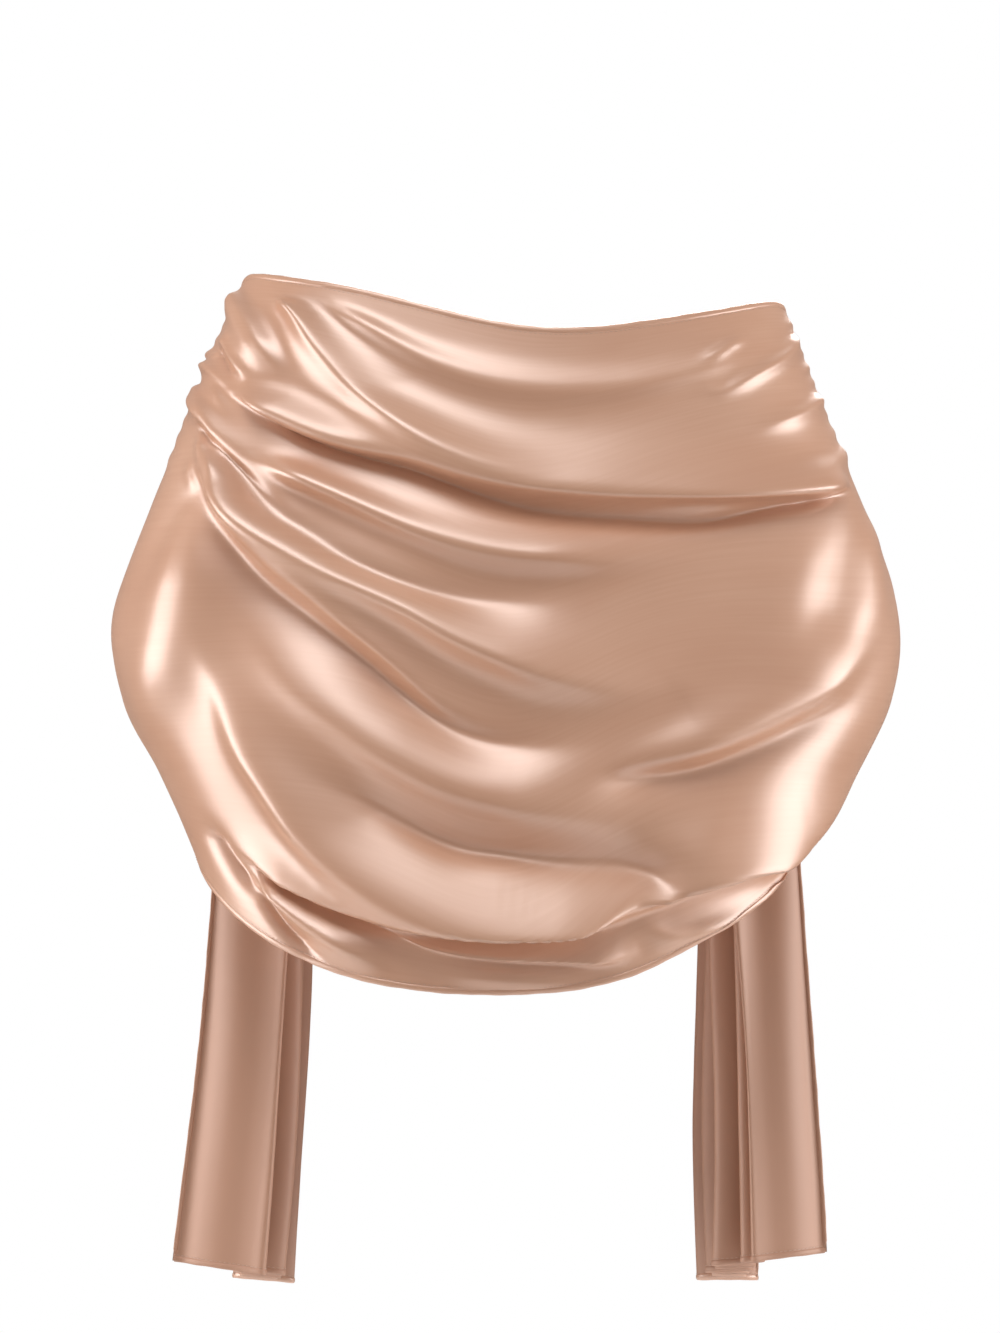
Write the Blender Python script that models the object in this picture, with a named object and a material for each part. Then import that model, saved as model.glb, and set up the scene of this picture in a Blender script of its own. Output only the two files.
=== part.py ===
"""Evening stole: one long satin rectangle in the shape it hangs in when it is worn.

It lies low round the back and the outer sides, gathers in front of each side, turns
over the crook that carries it from the outside to the inside, and falls from there
as a pleated tail. It is open at the top, at the bottom and down the whole front.

The cloth is one surface, drape(along, down). `along` is the distance along the cloth
from the middle of the back, negative to the left, and `down` is the distance across
the cloth from its upper edge. Each stretch that shows is a thin closed wall cut from
that surface, a hair's breadth from the next one.

Frame: +Z is up, +Y is forward, so the back faces -Y, and +X is the right side. The
origin is midway between the two crooks that carry the stole. Sizes are in
millimetres until the meshes are made.
"""

from collections import namedtuple

import bpy
import numpy as np

MM = 0.001

CLOTH_WIDTH = 700.0
HALF_LENGTH = 1020.0
WALL = 1.5
SEAM_GAP = 0.4

# Where one stretch of the cloth gives way to the next, as distances along it.
BACK_END = 235.0
SIDE_END = 345.0
LOOP_END = 545.0

BACK_COLUMNS = 26
SIDE_COLUMNS = 7
LOOP_COLUMNS = 13
TAIL_COLUMNS = 8
ROWS_PER_PLEAT = 7

# Steps across the cloth at which a pleat and the large form are worked out.
PLEAT_STEP = 0.5
FORM_STEP = 2.5
CREST_POINTS = 60

# Six points across the cloth at one distance along it, from the upper edge to the hem.
Station = namedtuple("Station", "place along edge high upper lower low hem")
BACK_STATIONS = [
    Station("left_crook", -430, (-198, 44, 108), (-222, 56, 94), (-246, 74, 66),
            (-262, 100, 24), (-263, 122, -22), (-253, 122, -66)),
    Station("left_front", -365, (-180, 36, 188), (-212, 46, 148), (-248, 54, 86),
            (-280, 62, 8), (-271, 68, -64), (-242, 50, -126)),
    Station("left_side", -285, (-199, -2, 261), (-227, -8, 195), (-262, -6, 110),
            (-297, -2, 0), (-266, -2, -92), (-226, -42, -174)),
    Station("left_back", -200, (-170, -60, 266), (-194, -72, 204), (-224, -78, 116),
            (-247, -82, 0), (-222, -90, -98), (-172, -104, -219)),
    Station("left_blade", -115, (-104, -90, 252), (-112, -104, 188), (-120, -116, 102),
            (-126, -126, 0), (-122, -134, -108), (-100, -136, -244)),
    Station("centre", 0, (8, -108, 225), (2, -120, 152), (0, -132, 62),
            (-2, -142, -42), (-2, -148, -150), (2, -146, -252)),
    Station("right_blade", 115, (106, -92, 231), (112, -104, 172), (118, -116, 92),
            (124, -126, 0), (120, -134, -100), (96, -134, -236)),
    Station("right_back", 200, (168, -60, 244), (190, -72, 190), (222, -78, 108),
            (246, -82, 0), (220, -90, -96), (160, -104, -200)),
    Station("right_side", 285, (205, -2, 245), (227, -6, 186), (260, -6, 106),
            (292, -2, 0), (262, -2, -96), (214, -42, -158)),
    Station("right_front", 365, (182, 36, 182), (212, 46, 144), (246, 54, 84),
            (276, 62, 8), (267, 68, -64), (236, 50, -120)),
    Station("right_crook", 430, (200, 44, 106), (222, 56, 92), (244, 74, 66),
            (259, 100, 24), (259, 122, -22), (249, 122, -64)),
]

# The loops and tails hang in ribs that run from back to front. x is the distance from
# the middle, bow is how far the rib's middle stands outwards, z falls from back to front.
Rib = namedtuple("Rib", "place along x_back x_front bow y_back y_front z_back z_front")
LEFT_RIBS = [
    Rib("loop_top", 505, 228, 220, 9, 35, 200, 32, 22),
    Rib("loop_inner", 560, 200, 184, 6, 34, 202, -26, -28),
    Rib("tail_upper", 640, 197, 179, 6, 34, 204, -106, -110),
    Rib("tail_middle", 800, 214, 178, 6, 30, 207, -266, -275),
    Rib("tail_end", 1020, 234, 190, 8, 16, 211, -472, -518),
]
RIGHT_RIBS = [
    Rib("loop_top", 505, 224, 216, 9, 35, 200, 32, 22),
    Rib("loop_inner", 560, 196, 180, 6, 34, 202, -26, -28),
    Rib("tail_upper", 640, 194, 173, 6, 34, 204, -106, -110),
    Rib("tail_middle", 800, 211, 170, 6, 30, 207, -266, -275),
    Rib("tail_end", 1020, 223, 168, 8, 16, 211, -464, -518),
]

# Where each pleat ends, across the cloth. They creep from the loop's places to the tail's.
PleatEdge = namedtuple("PleatEdge", "loop left_tail right_tail")
PLEAT_EDGES = [
    PleatEdge(0, 0, 0),
    PleatEdge(112, 132, 106),
    PleatEdge(196, 218, 194),
    PleatEdge(304, 318, 304),
    PleatEdge(386, 394, 382),
    PleatEdge(488, 492, 488),
    PleatEdge(578, 580, 576),
    PleatEdge(700, 700, 700),
]
GATHER_START = 330.0
GATHER_FULL = 525.0
PLEAT_CREEP = 400.0
# Between these distances the pleats stand wholly outside the rib, where the loop is carried.
CARRIED_FROM = 365.0
CARRIED_WHOLLY = 425.0
CARRIED_UNTIL = 535.0
HANGS_FREE = 625.0
# The widest swing of a pleat, in radians, short of a right angle, so that none overhangs.
WIDEST_SWING = 1.28

# One fold: its crest as points (along, down), its height, how far it reaches above and
# below the crest, how far it leans over downhill in degrees, and the shares of its
# length over which it rises and dies away.
Fold = namedtuple("Fold", "name crest height above below lean rise fade")
FOLDS = [
    Fold("upper_sweep", [(-200, 34), (-184, 58), (-147, 110), (-91, 166), (21, 186), (110, 178)],
         13, 28, 18, 10, .22, .40),
    Fold("edge_ripple", [(-160, 24), (-118, 48), (-74, 62), (20, 62), (134, 38), (190, 20)],
         6, 16, 16, 0, .20, .30),
    Fold("collar_roll", [(-205, 162), (-179, 178), (-127, 208), (-59, 214), (22, 214), (96, 240),
                         (150, 264), (200, 266), (240, 262)],
         12, 24, 15, 20, .18, .12),
    Fold("second_swag", [(-160, 256), (-97, 282), (22, 282), (93, 304), (139, 308), (185, 304),
                         (240, 294)],
         11, 14, 20, 5, .30, .15),
    Fold("bright_swag", [(-205, 262), (-185, 280), (-161, 300), (-103, 346), (-14, 366), (54, 418),
                         (110, 458), (160, 448), (201, 400), (225, 340)],
         18, 24, 19, 15, .16, .30),
    Fold("second_bright", [(-196, 312), (-182, 330), (-134, 374), (-102, 408), (-75, 428),
                           (-35, 442), (10, 454)],
         11, 15, 14, 10, .20, .40),
    Fold("low_swag", [(-160, 366), (-117, 436), (-65, 484), (-12, 488), (33, 510), (110, 552),
                      (161, 532), (214, 484), (235, 440)],
         15, 28, 20, 10, .25, .25),
    Fold("pale_swag", [(-180, 400), (-165, 458), (-142, 546), (-98, 586), (23, 592), (84, 616),
                       (144, 626), (206, 612), (240, 594)],
         16, 40, 20, 5, .20, .20),
    Fold("side_ridge", [(-206, 330), (-200, 386), (-208, 440), (-228, 492), (-250, 540)],
         10, 15, 15, 0, .25, .25),
    Fold("panel_edge", [(-225, 600), (-197, 622), (-135, 642), (-48, 634), (23, 634), (101, 644),
                        (158, 640), (198, 638), (250, 640)],
         14, 18, 14, 35, .15, .15),
    Fold("second_edge", [(-150, 660), (-113, 666), (-62, 668), (22, 672), (84, 682), (130, 690)],
         8, 12, 11, 25, .25, .25),
    Fold("right_band", [(98, 680), (160, 680), (206, 678), (285, 690)],
         8, 12, 12, 10, .40, .20),
    Fold("fan_inner", [(205, 316), (186, 350), (174, 390), (166, 440)],
         8, 13, 13, 0, .25, .40),
    Fold("fan_outer", [(248, 316), (240, 356), (214, 416), (180, 476)],
         9, 13, 13, 0, .25, .40),
]

# The short wrinkles where each side is drawn together: where one starts and ends,
# measured down from the upper edge, and its height.
Wrinkle = namedtuple("Wrinkle", "outer inner height")
LEFT_WRINKLES = [
    Wrinkle(20, 62, 5),
    Wrinkle(58, 108, 6),
    Wrinkle(92, 142, 5),
    Wrinkle(128, 180, 6),
    Wrinkle(163, 214, 5),
    Wrinkle(198, 244, 6),
    Wrinkle(232, 274, 5),
]
RIGHT_WRINKLES = [
    Wrinkle(40, 84, 5),
    Wrinkle(82, 126, 6),
    Wrinkle(122, 168, 5),
    Wrinkle(162, 204, 6),
    Wrinkle(202, 238, 5),
    Wrinkle(240, 272, 5),
]
WRINKLE_REACH = 10.0
# Where along the cloth a wrinkle's outer tip, outer end, middle and inner end lie, how far
# its outer tip rises, and the shares over which it rises outside and dies away inside.
WRINKLE_PLACES = (330, 262, 224, 182)
WRINKLE_TIP_RISE = 26
WRINKLE_OUTER_SHARE = 0.20
WRINKLE_INNER_SHARE = 0.35

# Each finish: base colour (linear), roughness, metallic value.
Finish = namedtuple("Finish", "colour roughness metallic")
SATIN_BACK = Finish((0.62, 0.38, 0.27), 0.34, 0.35)
SATIN_SIDE = Finish((0.60, 0.36, 0.25), 0.36, 0.35)
SATIN_LOOP = Finish((0.56, 0.33, 0.22), 0.42, 0.25)
SATIN_TAIL = Finish((0.50, 0.29, 0.19), 0.48, 0.20)


def smooth_step(share):
    """Rises from 0 to 1 with level ends as share goes from 0 to 1."""
    share = np.clip(share, 0, 1)
    return share * share * (3 - 2 * share)


def curve_through(knots, values, at):
    """Natural cubic curve through values at the knots, read at the places `at`."""
    knots = np.asarray(knots, float)
    values = np.asarray(values, float)
    at = np.asarray(at, float)
    count = len(knots)
    step = np.diff(knots)
    flat = values.reshape(count, -1)
    slope = np.diff(flat, axis=0) / step[:, None]
    system = np.eye(count)
    bend = np.zeros_like(flat)
    for i in range(1, count - 1):
        system[i, i - 1:i + 2] = step[i - 1], 2 * (step[i - 1] + step[i]), step[i]
        bend[i] = 6 * (slope[i] - slope[i - 1])
    second = np.linalg.solve(system, bend)
    i = np.clip(np.searchsorted(knots, at, side="right") - 1, 0, count - 2)
    width = step[i][..., None]
    before = knots[i + 1][..., None] - at[..., None]
    after = at[..., None] - knots[i][..., None]
    curve = (second[i] * before ** 3 + second[i + 1] * after ** 3) / (6 * width)
    curve += (flat[i] / width - second[i] * width / 6) * before
    curve += (flat[i + 1] / width - second[i + 1] * width / 6) * after
    return curve.reshape(*at.shape, *values.shape[1:])


def rib_points(rib, side):
    """Six points of a loop's or tail's rib, from back to front, bowed outwards."""
    t = np.linspace(0, 1, 6)
    x = rib.x_back + (rib.x_front - rib.x_back) * t + rib.bow * 4 * t * (1 - t)
    y = rib.y_back + (rib.y_front - rib.y_back) * t
    z = rib.z_back + (rib.z_front - rib.z_back) * t
    return np.stack([side * x, y, z], axis=1)


def control_net():
    """Distances along the cloth and the six points at each, left tail to right tail."""
    left = [(-rib.along, rib_points(rib, -1)) for rib in reversed(LEFT_RIBS)]
    middle = [(station.along, np.array(station[2:])) for station in BACK_STATIONS]
    right = [(rib.along, rib_points(rib, 1)) for rib in RIGHT_RIBS]
    rows = left + middle + right
    return np.array([row[0] for row in rows], float), np.array([row[1] for row in rows], float)


def plain_surface(along, down):
    """The cloth's large form, before pleats and folds."""
    places, points = control_net()
    across = np.linspace(0, CLOTH_WIDTH, points.shape[1])
    ribs = curve_through(across, points.transpose(1, 0, 2), down)
    return curve_through(places, ribs.transpose(1, 0, 2), along)


def directions(surface, along, down):
    """Unit vectors along the cloth, down it and out of its outer face."""
    ahead = np.gradient(surface, along, axis=0)
    across = np.gradient(surface, down, axis=1)
    outward = np.cross(across, ahead)
    return [v / np.linalg.norm(v, axis=2, keepdims=True) for v in (ahead, across, outward)]


def swing_for(share):
    """How far a wave swings from side to side, in radians, to draw its cloth in to a share.

    A wave whose direction is swing * sin(phase) is as long as the mean of its cosine."""
    swings = np.linspace(0, WIDEST_SWING, 101)
    phases = np.linspace(0, 2 * np.pi, 360, endpoint=False)
    lengths = np.cos(swings[:, None] * np.sin(phases)).mean(axis=1)
    return np.interp(-np.clip(share, lengths[-1], 1), -lengths, swings)


def pleat_phase(along, down):
    """Phase of the pleats across the cloth at one distance along it; one turn a pleat."""
    loop = np.array([edge.loop for edge in PLEAT_EDGES], float)
    tail = np.array([edge.left_tail if along < 0 else edge.right_tail for edge in PLEAT_EDGES], float)
    creep = smooth_step((abs(along) - LOOP_END) / PLEAT_CREEP)
    edges = loop + (tail - loop) * creep
    turns = np.arange(len(edges), dtype=float)[:, None]
    return 2 * np.pi * curve_through(edges, turns, down)[..., 0]


def pleats(along, down):
    """Where each point of the cloth lands on its rib, and how far it stands off it."""
    fine = np.linspace(0, CLOTH_WIDTH, round(CLOTH_WIDTH / PLEAT_STEP) + 1)
    plain = plain_surface(along, fine)
    rib_lengths = np.linalg.norm(np.diff(plain, axis=1), axis=2).sum(axis=1)
    distance = np.abs(along)
    swings = swing_for(rib_lengths / CLOTH_WIDTH)
    swings *= smooth_step((distance - GATHER_START) / (GATHER_FULL - GATHER_START))
    # Half of a pleat's height lies inside the rib, but none where the loop is carried.
    carried = smooth_step((distance - CARRIED_FROM) / (CARRIED_WHOLLY - CARRIED_FROM))
    carried -= smooth_step((distance - CARRIED_UNTIL) / (HANGS_FREE - CARRIED_UNTIL))
    sunk = 0.5 - 0.5 * carried
    landing = np.zeros((len(along), len(down)))
    stand_off = np.zeros((len(along), len(down)))
    for i, swing in enumerate(swings):
        angle = swing * np.sin(pleat_phase(along[i], fine))
        forward = np.concatenate([[0], np.cumsum(np.cos(angle[1:]))])
        sideways = np.concatenate([[0], np.cumsum(np.sin(angle[1:]))]) * (fine[1] - fine[0])
        sideways -= np.linspace(0, sideways[-1], len(fine))
        landing[i] = np.interp(down, fine, forward / forward[-1] * CLOTH_WIDTH)
        stand_off[i] = np.interp(down, fine, sideways - sideways.max() * sunk[i])
    return landing, stand_off


def side_wrinkles():
    """The short wrinkles as folds, on the left side and on the right."""
    folds = []
    for side, wrinkles in ((-1, LEFT_WRINKLES), (1, RIGHT_WRINKLES)):
        for number, wrinkle in enumerate(wrinkles):
            middle = (wrinkle.outer + wrinkle.inner) / 2
            drops = (wrinkle.outer - WRINKLE_TIP_RISE, wrinkle.outer, middle, wrinkle.inner)
            crest = [(side * place, drop) for place, drop in zip(WRINKLE_PLACES, drops)]
            rise, fade = WRINKLE_OUTER_SHARE, WRINKLE_INNER_SHARE
            if side > 0:
                crest.reverse()
                rise, fade = fade, rise
            folds.append(Fold(f"wrinkle_{number}", crest, wrinkle.height,
                              WRINKLE_REACH, WRINKLE_REACH, 0, rise, fade))
    return folds


def nearest_on_crest(crest, a, b):
    """For each point (a, b): signed distance to the crest, positive below it, how far
    along the crest it lies from 0 to 1, and the crest's downhill direction there."""
    corners = np.array(crest, float)
    reach = np.concatenate([[0], np.cumsum(np.linalg.norm(np.diff(corners, axis=0), axis=1))])
    line = curve_through(reach, corners, np.linspace(0, reach[-1], CREST_POINTS))
    steps = np.diff(line, axis=0)
    lengths = np.linalg.norm(steps, axis=1)
    nearest = np.full(a.shape, np.inf)
    side = np.zeros(a.shape)
    share = np.zeros(a.shape)
    for i, (step, length) in enumerate(zip(steps, lengths)):
        da, db = a - line[i, 0], b - line[i, 1]
        t = np.clip((da * step[0] + db * step[1]) / length ** 2, 0, 1)
        distance = np.hypot(da - t * step[0], db - t * step[1])
        closer = distance < nearest
        nearest = np.where(closer, distance, nearest)
        side = np.where(closer, np.sign(step[0] * db - step[1] * da), side)
        share = np.where(closer, (i + t) / len(steps), share)
    course = np.gradient(line, axis=0)
    course /= np.linalg.norm(course, axis=1, keepdims=True)
    nodes = np.linspace(0, 1, len(line))
    down_a = np.interp(share, nodes, -course[:, 1])
    down_b = np.interp(share, nodes, course[:, 0])
    return nearest * side, share, down_a, down_b


def fold_offsets(a, b):
    """How far the folds move the cloth outwards, along itself and down itself.

    Each fold is a ridge over its crest: height * exp(-(distance / reach)^2), with a
    different reach on each side, leaning over downhill by its angle."""
    out = np.zeros_like(a)
    ahead = np.zeros_like(a)
    across = np.zeros_like(a)
    for fold in FOLDS + side_wrinkles():
        distance, share, down_a, down_b = nearest_on_crest(fold.crest, a, b)
        below = 0.5 + 0.5 * np.tanh(2 * distance / min(fold.above, fold.below))
        reach = fold.above + (fold.below - fold.above) * below
        height = fold.height * np.exp(-(distance / reach) ** 2)
        height = height * smooth_step(share / fold.rise) * smooth_step((1 - share) / fold.fade)
        lean = np.radians(fold.lean)
        out += height * np.cos(lean)
        ahead += height * np.sin(lean) * down_a
        across += height * np.sin(lean) * down_b
    return out, ahead, across


def drape(along, down):
    """The worn cloth on a grid: the large form, then its pleats, then its folds."""
    landing, stand_off = pleats(along, down)
    fine = np.linspace(0, CLOTH_WIDTH, round(CLOTH_WIDTH / FORM_STEP) + 1)
    plain = plain_surface(along, fine)
    column = np.arange(len(along))[:, None]
    place = landing / fine[1]
    row = np.minimum(place.astype(int), len(fine) - 2)
    part = (place - row)[..., None]
    layers = [plain, *directions(plain, along, fine)]
    surface, ahead, across, outward = [
        layer[column, row] * (1 - part) + layer[column, row + 1] * part for layer in layers]
    a, b = np.meshgrid(along, down, indexing="ij")
    fold_out, fold_ahead, fold_across = fold_offsets(a, b)
    surface = surface + outward * (stand_off + fold_out)[..., None]
    return surface + ahead * fold_ahead[..., None] + across * fold_across[..., None]


def satin(name, finish):
    """A plain satin material with the stretch's own colour and gloss."""
    material = bpy.data.materials.new(name)
    material.use_nodes = True
    shader = material.node_tree.nodes["Principled BSDF"]
    shader.inputs["Base Color"].default_value = (*finish.colour, 1)
    shader.inputs["Roughness"].default_value = finish.roughness
    shader.inputs["Metallic"].default_value = finish.metallic
    return material


def wall_triangles(middle, first):
    """Triangles of one face of a wall, each cell split along its shorter diagonal."""
    columns, rows = middle.shape[:2]
    index = first + np.arange(columns * rows).reshape(columns, rows)
    a, b, c, d = index[:-1, :-1], index[1:, :-1], index[1:, 1:], index[:-1, 1:]
    one = np.linalg.norm(middle[:-1, :-1] - middle[1:, 1:], axis=2)
    other = np.linalg.norm(middle[1:, :-1] - middle[:-1, 1:], axis=2)
    along_one = (one <= other)[..., None]
    first_half = np.where(along_one, np.stack([a, b, c], -1), np.stack([a, b, d], -1))
    second_half = np.where(along_one, np.stack([a, c, d], -1), np.stack([b, c, d], -1))
    return np.concatenate([first_half.reshape(-1, 3), second_half.reshape(-1, 3)])


def rim_triangles(count, columns, rows):
    """Two triangles for each edge of the border, joining the outer face to the inner."""
    index = np.arange(columns * rows).reshape(columns, rows)
    border = np.concatenate([index[:-1, 0], index[-1, :-1], index[:0:-1, -1], index[0, :0:-1]])
    after = np.roll(border, -1)
    one = np.stack([border, border + count, after + count], -1)
    other = np.stack([border, after + count, after], -1)
    return np.concatenate([one, other])


def make_wall(name, middle, outward, finish):
    """One stretch of cloth as a closed wall: its middle surface moved out and in."""
    columns, rows = middle.shape[:2]
    count = columns * rows
    outer = (middle + outward * WALL / 2).reshape(-1, 3)
    inner = (middle - outward * WALL / 2).reshape(-1, 3)
    outer_face = wall_triangles(middle, 0)[:, ::-1]
    inner_face = wall_triangles(middle, count)
    faces = np.concatenate([outer_face, inner_face, rim_triangles(count, columns, rows)[:, ::-1]])
    mesh = bpy.data.meshes.new(name)
    mesh.from_pydata((np.concatenate([outer, inner]) * MM).tolist(), [], faces.tolist())
    mesh.update()
    mesh.shade_smooth()
    mesh.materials.append(satin(name + "_satin", finish))
    wall = bpy.data.objects.new(name, mesh)
    bpy.context.scene.collection.objects.link(wall)
    return wall


def stretches():
    """Each stretch of the cloth: its name, where it starts and ends, columns and finish."""
    sides = [("left", -1), ("right", 1)]
    table = [("back", -BACK_END, BACK_END, BACK_COLUMNS, SATIN_BACK)]
    for word, side in sides:
        parts = [("side", BACK_END, SIDE_END, SIDE_COLUMNS, SATIN_SIDE),
                 ("loop", SIDE_END, LOOP_END, LOOP_COLUMNS, SATIN_LOOP),
                 ("tail", LOOP_END, HALF_LENGTH, TAIL_COLUMNS, SATIN_TAIL)]
        for part, near, far, columns, finish in parts:
            start, end = sorted((side * near, side * far))
            table.append((f"{word}_{part}", start, end, columns, finish))
    return sorted(table, key=lambda row: row[1])


def row_places():
    """Distances down the cloth where the walls have points, as many to each pleat."""
    edges = np.array([edge.loop for edge in PLEAT_EDGES], float)
    turns = np.arange(len(edges), dtype=float)
    wanted = np.linspace(0, turns[-1], ROWS_PER_PLEAT * int(turns[-1]) + 1)
    return np.interp(wanted, turns, edges)


def main():
    for old in list(bpy.data.objects):
        bpy.data.objects.remove(old, do_unlink=True)
    table = stretches()
    columns = []
    for _, start, end, count, _ in table:
        inset_start = start + SEAM_GAP / 2 if start > -HALF_LENGTH else start
        inset_end = end - SEAM_GAP / 2 if end < HALF_LENGTH else end
        columns.append(np.linspace(inset_start, inset_end, count + 1))
    along = np.concatenate(columns)
    down = row_places()
    surface = drape(along, down)
    # The two columns at a seam share one outward direction, so their walls stay parallel.
    starts = np.cumsum([0] + [len(column) for column in columns])
    single = np.ones(len(along), bool)
    single[starts[1:-1]] = False
    outward = directions(surface[single], along[single], down)[2][np.cumsum(single) - 1]
    for (name, _, _, _, finish), first, last in zip(table, starts, starts[1:]):
        make_wall(name, surface[first:last], outward[first:last], finish)


if __name__ == "__main__":
    main()
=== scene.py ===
"""Evening stole, dressed: a long champagne satin wrap in the shape it is worn in.

The cloth is one surface, drape(along, down), the same one its solids are cut from, with
finer folds. `along` runs along the cloth from the middle of the back, negative to the
left, and `down` runs across it from the upper edge. Each stretch of it is a thin closed
shell in the place of its solid. Rolled hems and their stitches finish the four edges.

Lengths inside the surface functions are in millimetres, and meshes are in metres.
"""

from collections import namedtuple
from functools import lru_cache

import bpy
import numpy as np
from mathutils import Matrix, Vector


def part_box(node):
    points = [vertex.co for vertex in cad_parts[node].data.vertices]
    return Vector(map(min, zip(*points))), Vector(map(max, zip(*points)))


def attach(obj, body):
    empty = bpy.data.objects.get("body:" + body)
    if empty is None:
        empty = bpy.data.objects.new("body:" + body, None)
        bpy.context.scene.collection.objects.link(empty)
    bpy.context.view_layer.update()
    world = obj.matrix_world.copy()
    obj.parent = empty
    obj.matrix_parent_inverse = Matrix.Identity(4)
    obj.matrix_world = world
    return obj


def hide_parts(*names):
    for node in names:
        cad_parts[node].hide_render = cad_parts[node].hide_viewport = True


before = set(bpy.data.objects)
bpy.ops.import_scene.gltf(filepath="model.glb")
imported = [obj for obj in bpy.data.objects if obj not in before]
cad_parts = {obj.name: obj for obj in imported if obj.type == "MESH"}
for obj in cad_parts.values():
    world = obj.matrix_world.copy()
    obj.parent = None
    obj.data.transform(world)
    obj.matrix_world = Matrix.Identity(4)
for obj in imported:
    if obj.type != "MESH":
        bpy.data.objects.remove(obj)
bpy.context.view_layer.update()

bl_info = {
    "name": "Evening Stole",
    "version": (1, 0, 0),
    "blender": (4, 5, 0),
    "location": "View3D > Sidebar > Stole",
    "description": "A long satin stole with rolled hems, in the shape it is worn in",
    "category": "Add Mesh",
}

MM = 0.001
BODY = "root"
UV_NAME = "cloth"
# The tails' painted shade: their colour as shares of the satin's deeper one, darker because less light falls
# on them.
TAIL_SHADE_TONE = (0.75, 0.69, 0.63)

# The surface's own measures. They are the cut's, so they change only with the solids.
CLOTH_WIDTH = 700.0
HALF_LENGTH = 1020.0
ROWS = 224
# How far a shell's box may differ from its solid's.
PLACE_LIMIT = 12.0

# Each stretch of cloth: its piece, the node it stands for, its slot, where it starts and
# ends along the cloth, how many columns of cells it has, how much of the cloth's width
# shows (the rest is tucked away in the folds), and what carries it.
Stretch = namedtuple("Stretch", "piece node slot start end columns shown carried_by")
STRETCHES = [
    Stretch("satin_left_tail", "left_tail", "satin_tail", -1020, -545, 48, 570, ["satin_left_loop"]),
    Stretch("satin_left_loop", "left_loop", "satin_loop", -545, -345, 70, 460, []),
    Stretch("satin_left_side", "left_side", "satin_side", -345, -235, 50, 440, ["satin_left_loop"]),
    Stretch("satin_back", "back", "satin_back", -235, 235, 214, 650,
            ["satin_left_side", "satin_right_side"]),
    Stretch("satin_right_side", "right_side", "satin_side", 235, 345, 50, 420, ["satin_right_loop"]),
    Stretch("satin_right_loop", "right_loop", "satin_loop", 345, 545, 70, 460, []),
    Stretch("satin_right_tail", "right_tail", "satin_tail", 545, 1020, 48, 570, ["satin_right_loop"]),
]

# Six points across the cloth at one distance along it, from the upper edge to the lower.
Station = namedtuple("Station", "place along edge high upper lower low hem")
BACK_STATIONS = [
    Station("left_crook", -430, (-198, 44, 108), (-222, 56, 94), (-246, 74, 66),
            (-262, 100, 24), (-263, 122, -22), (-253, 122, -66)),
    Station("left_front", -365, (-180, 36, 188), (-212, 46, 148), (-248, 54, 86),
            (-280, 62, 8), (-271, 68, -64), (-242, 50, -126)),
    Station("left_side", -285, (-199, -2, 261), (-227, -8, 195), (-262, -6, 110),
            (-297, -2, 0), (-266, -2, -92), (-226, -42, -174)),
    Station("left_back", -200, (-170, -60, 266), (-194, -72, 204), (-224, -78, 116),
            (-247, -82, 0), (-222, -90, -98), (-172, -104, -219)),
    Station("left_blade", -115, (-104, -90, 252), (-112, -104, 188), (-120, -116, 102),
            (-126, -126, 0), (-122, -134, -108), (-100, -136, -244)),
    Station("centre", 0, (8, -108, 225), (2, -120, 152), (0, -132, 62),
            (-2, -142, -42), (-2, -148, -150), (2, -146, -252)),
    Station("right_blade", 115, (106, -92, 231), (112, -104, 172), (118, -116, 92),
            (124, -126, 0), (120, -134, -100), (96, -134, -236)),
    Station("right_back", 200, (168, -60, 244), (190, -72, 190), (222, -78, 108),
            (246, -82, 0), (220, -90, -96), (160, -104, -200)),
    Station("right_side", 285, (205, -2, 245), (227, -6, 186), (260, -6, 106),
            (292, -2, 0), (262, -2, -96), (214, -42, -158)),
    Station("right_front", 365, (182, 36, 182), (212, 46, 144), (246, 54, 84),
            (276, 62, 8), (267, 68, -64), (236, 50, -120)),
    Station("right_crook", 430, (200, 44, 106), (222, 56, 92), (244, 74, 66),
            (259, 100, 24), (259, 122, -22), (249, 122, -64)),
]

# The loops and tails hang in ribs from back to front: x at each end, how far the rib's
# middle bows outwards, y at each end and z at each end.
Rib = namedtuple("Rib", "place along x_back x_front bow y_back y_front z_back z_front")
LEFT_RIBS = [
    Rib("loop_top", 505, 228, 220, 9, 35, 200, 32, 22),
    Rib("loop_inner", 560, 200, 184, 6, 34, 202, -26, -28),
    Rib("tail_upper", 640, 197, 179, 6, 34, 204, -106, -110),
    Rib("tail_middle", 800, 214, 178, 6, 30, 207, -266, -275),
    Rib("tail_end", 1020, 234, 190, 8, 16, 211, -472, -518),
]
RIGHT_RIBS = [
    Rib("loop_top", 505, 224, 216, 9, 35, 200, 32, 22),
    Rib("loop_inner", 560, 196, 180, 6, 34, 202, -26, -28),
    Rib("tail_upper", 640, 194, 173, 6, 34, 204, -106, -110),
    Rib("tail_middle", 800, 211, 170, 6, 30, 207, -266, -275),
    Rib("tail_end", 1020, 223, 168, 8, 16, 211, -464, -518),
]

# Where each pleat ends, across the cloth. They creep from the loop's places to the tail's.
PleatEdge = namedtuple("PleatEdge", "loop left_tail right_tail")
PLEAT_EDGES = [
    PleatEdge(0, 0, 0),
    PleatEdge(112, 132, 106),
    PleatEdge(196, 218, 194),
    PleatEdge(304, 318, 304),
    PleatEdge(386, 394, 382),
    PleatEdge(488, 492, 488),
    PleatEdge(578, 580, 576),
    PleatEdge(700, 700, 700),
]
# Across a tail, the share of its way inwards that each point of a rib has gone.
TAIL_STEP = np.array([0, 0.70, 1.0, 0.98, 0.92, 0.85])
GATHER_START = 330.0
GATHER_FULL = 525.0
WIDEST_SWING = 1.28
LOOP_END = 545.0
PLEAT_WANDER = 5.0

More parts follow.
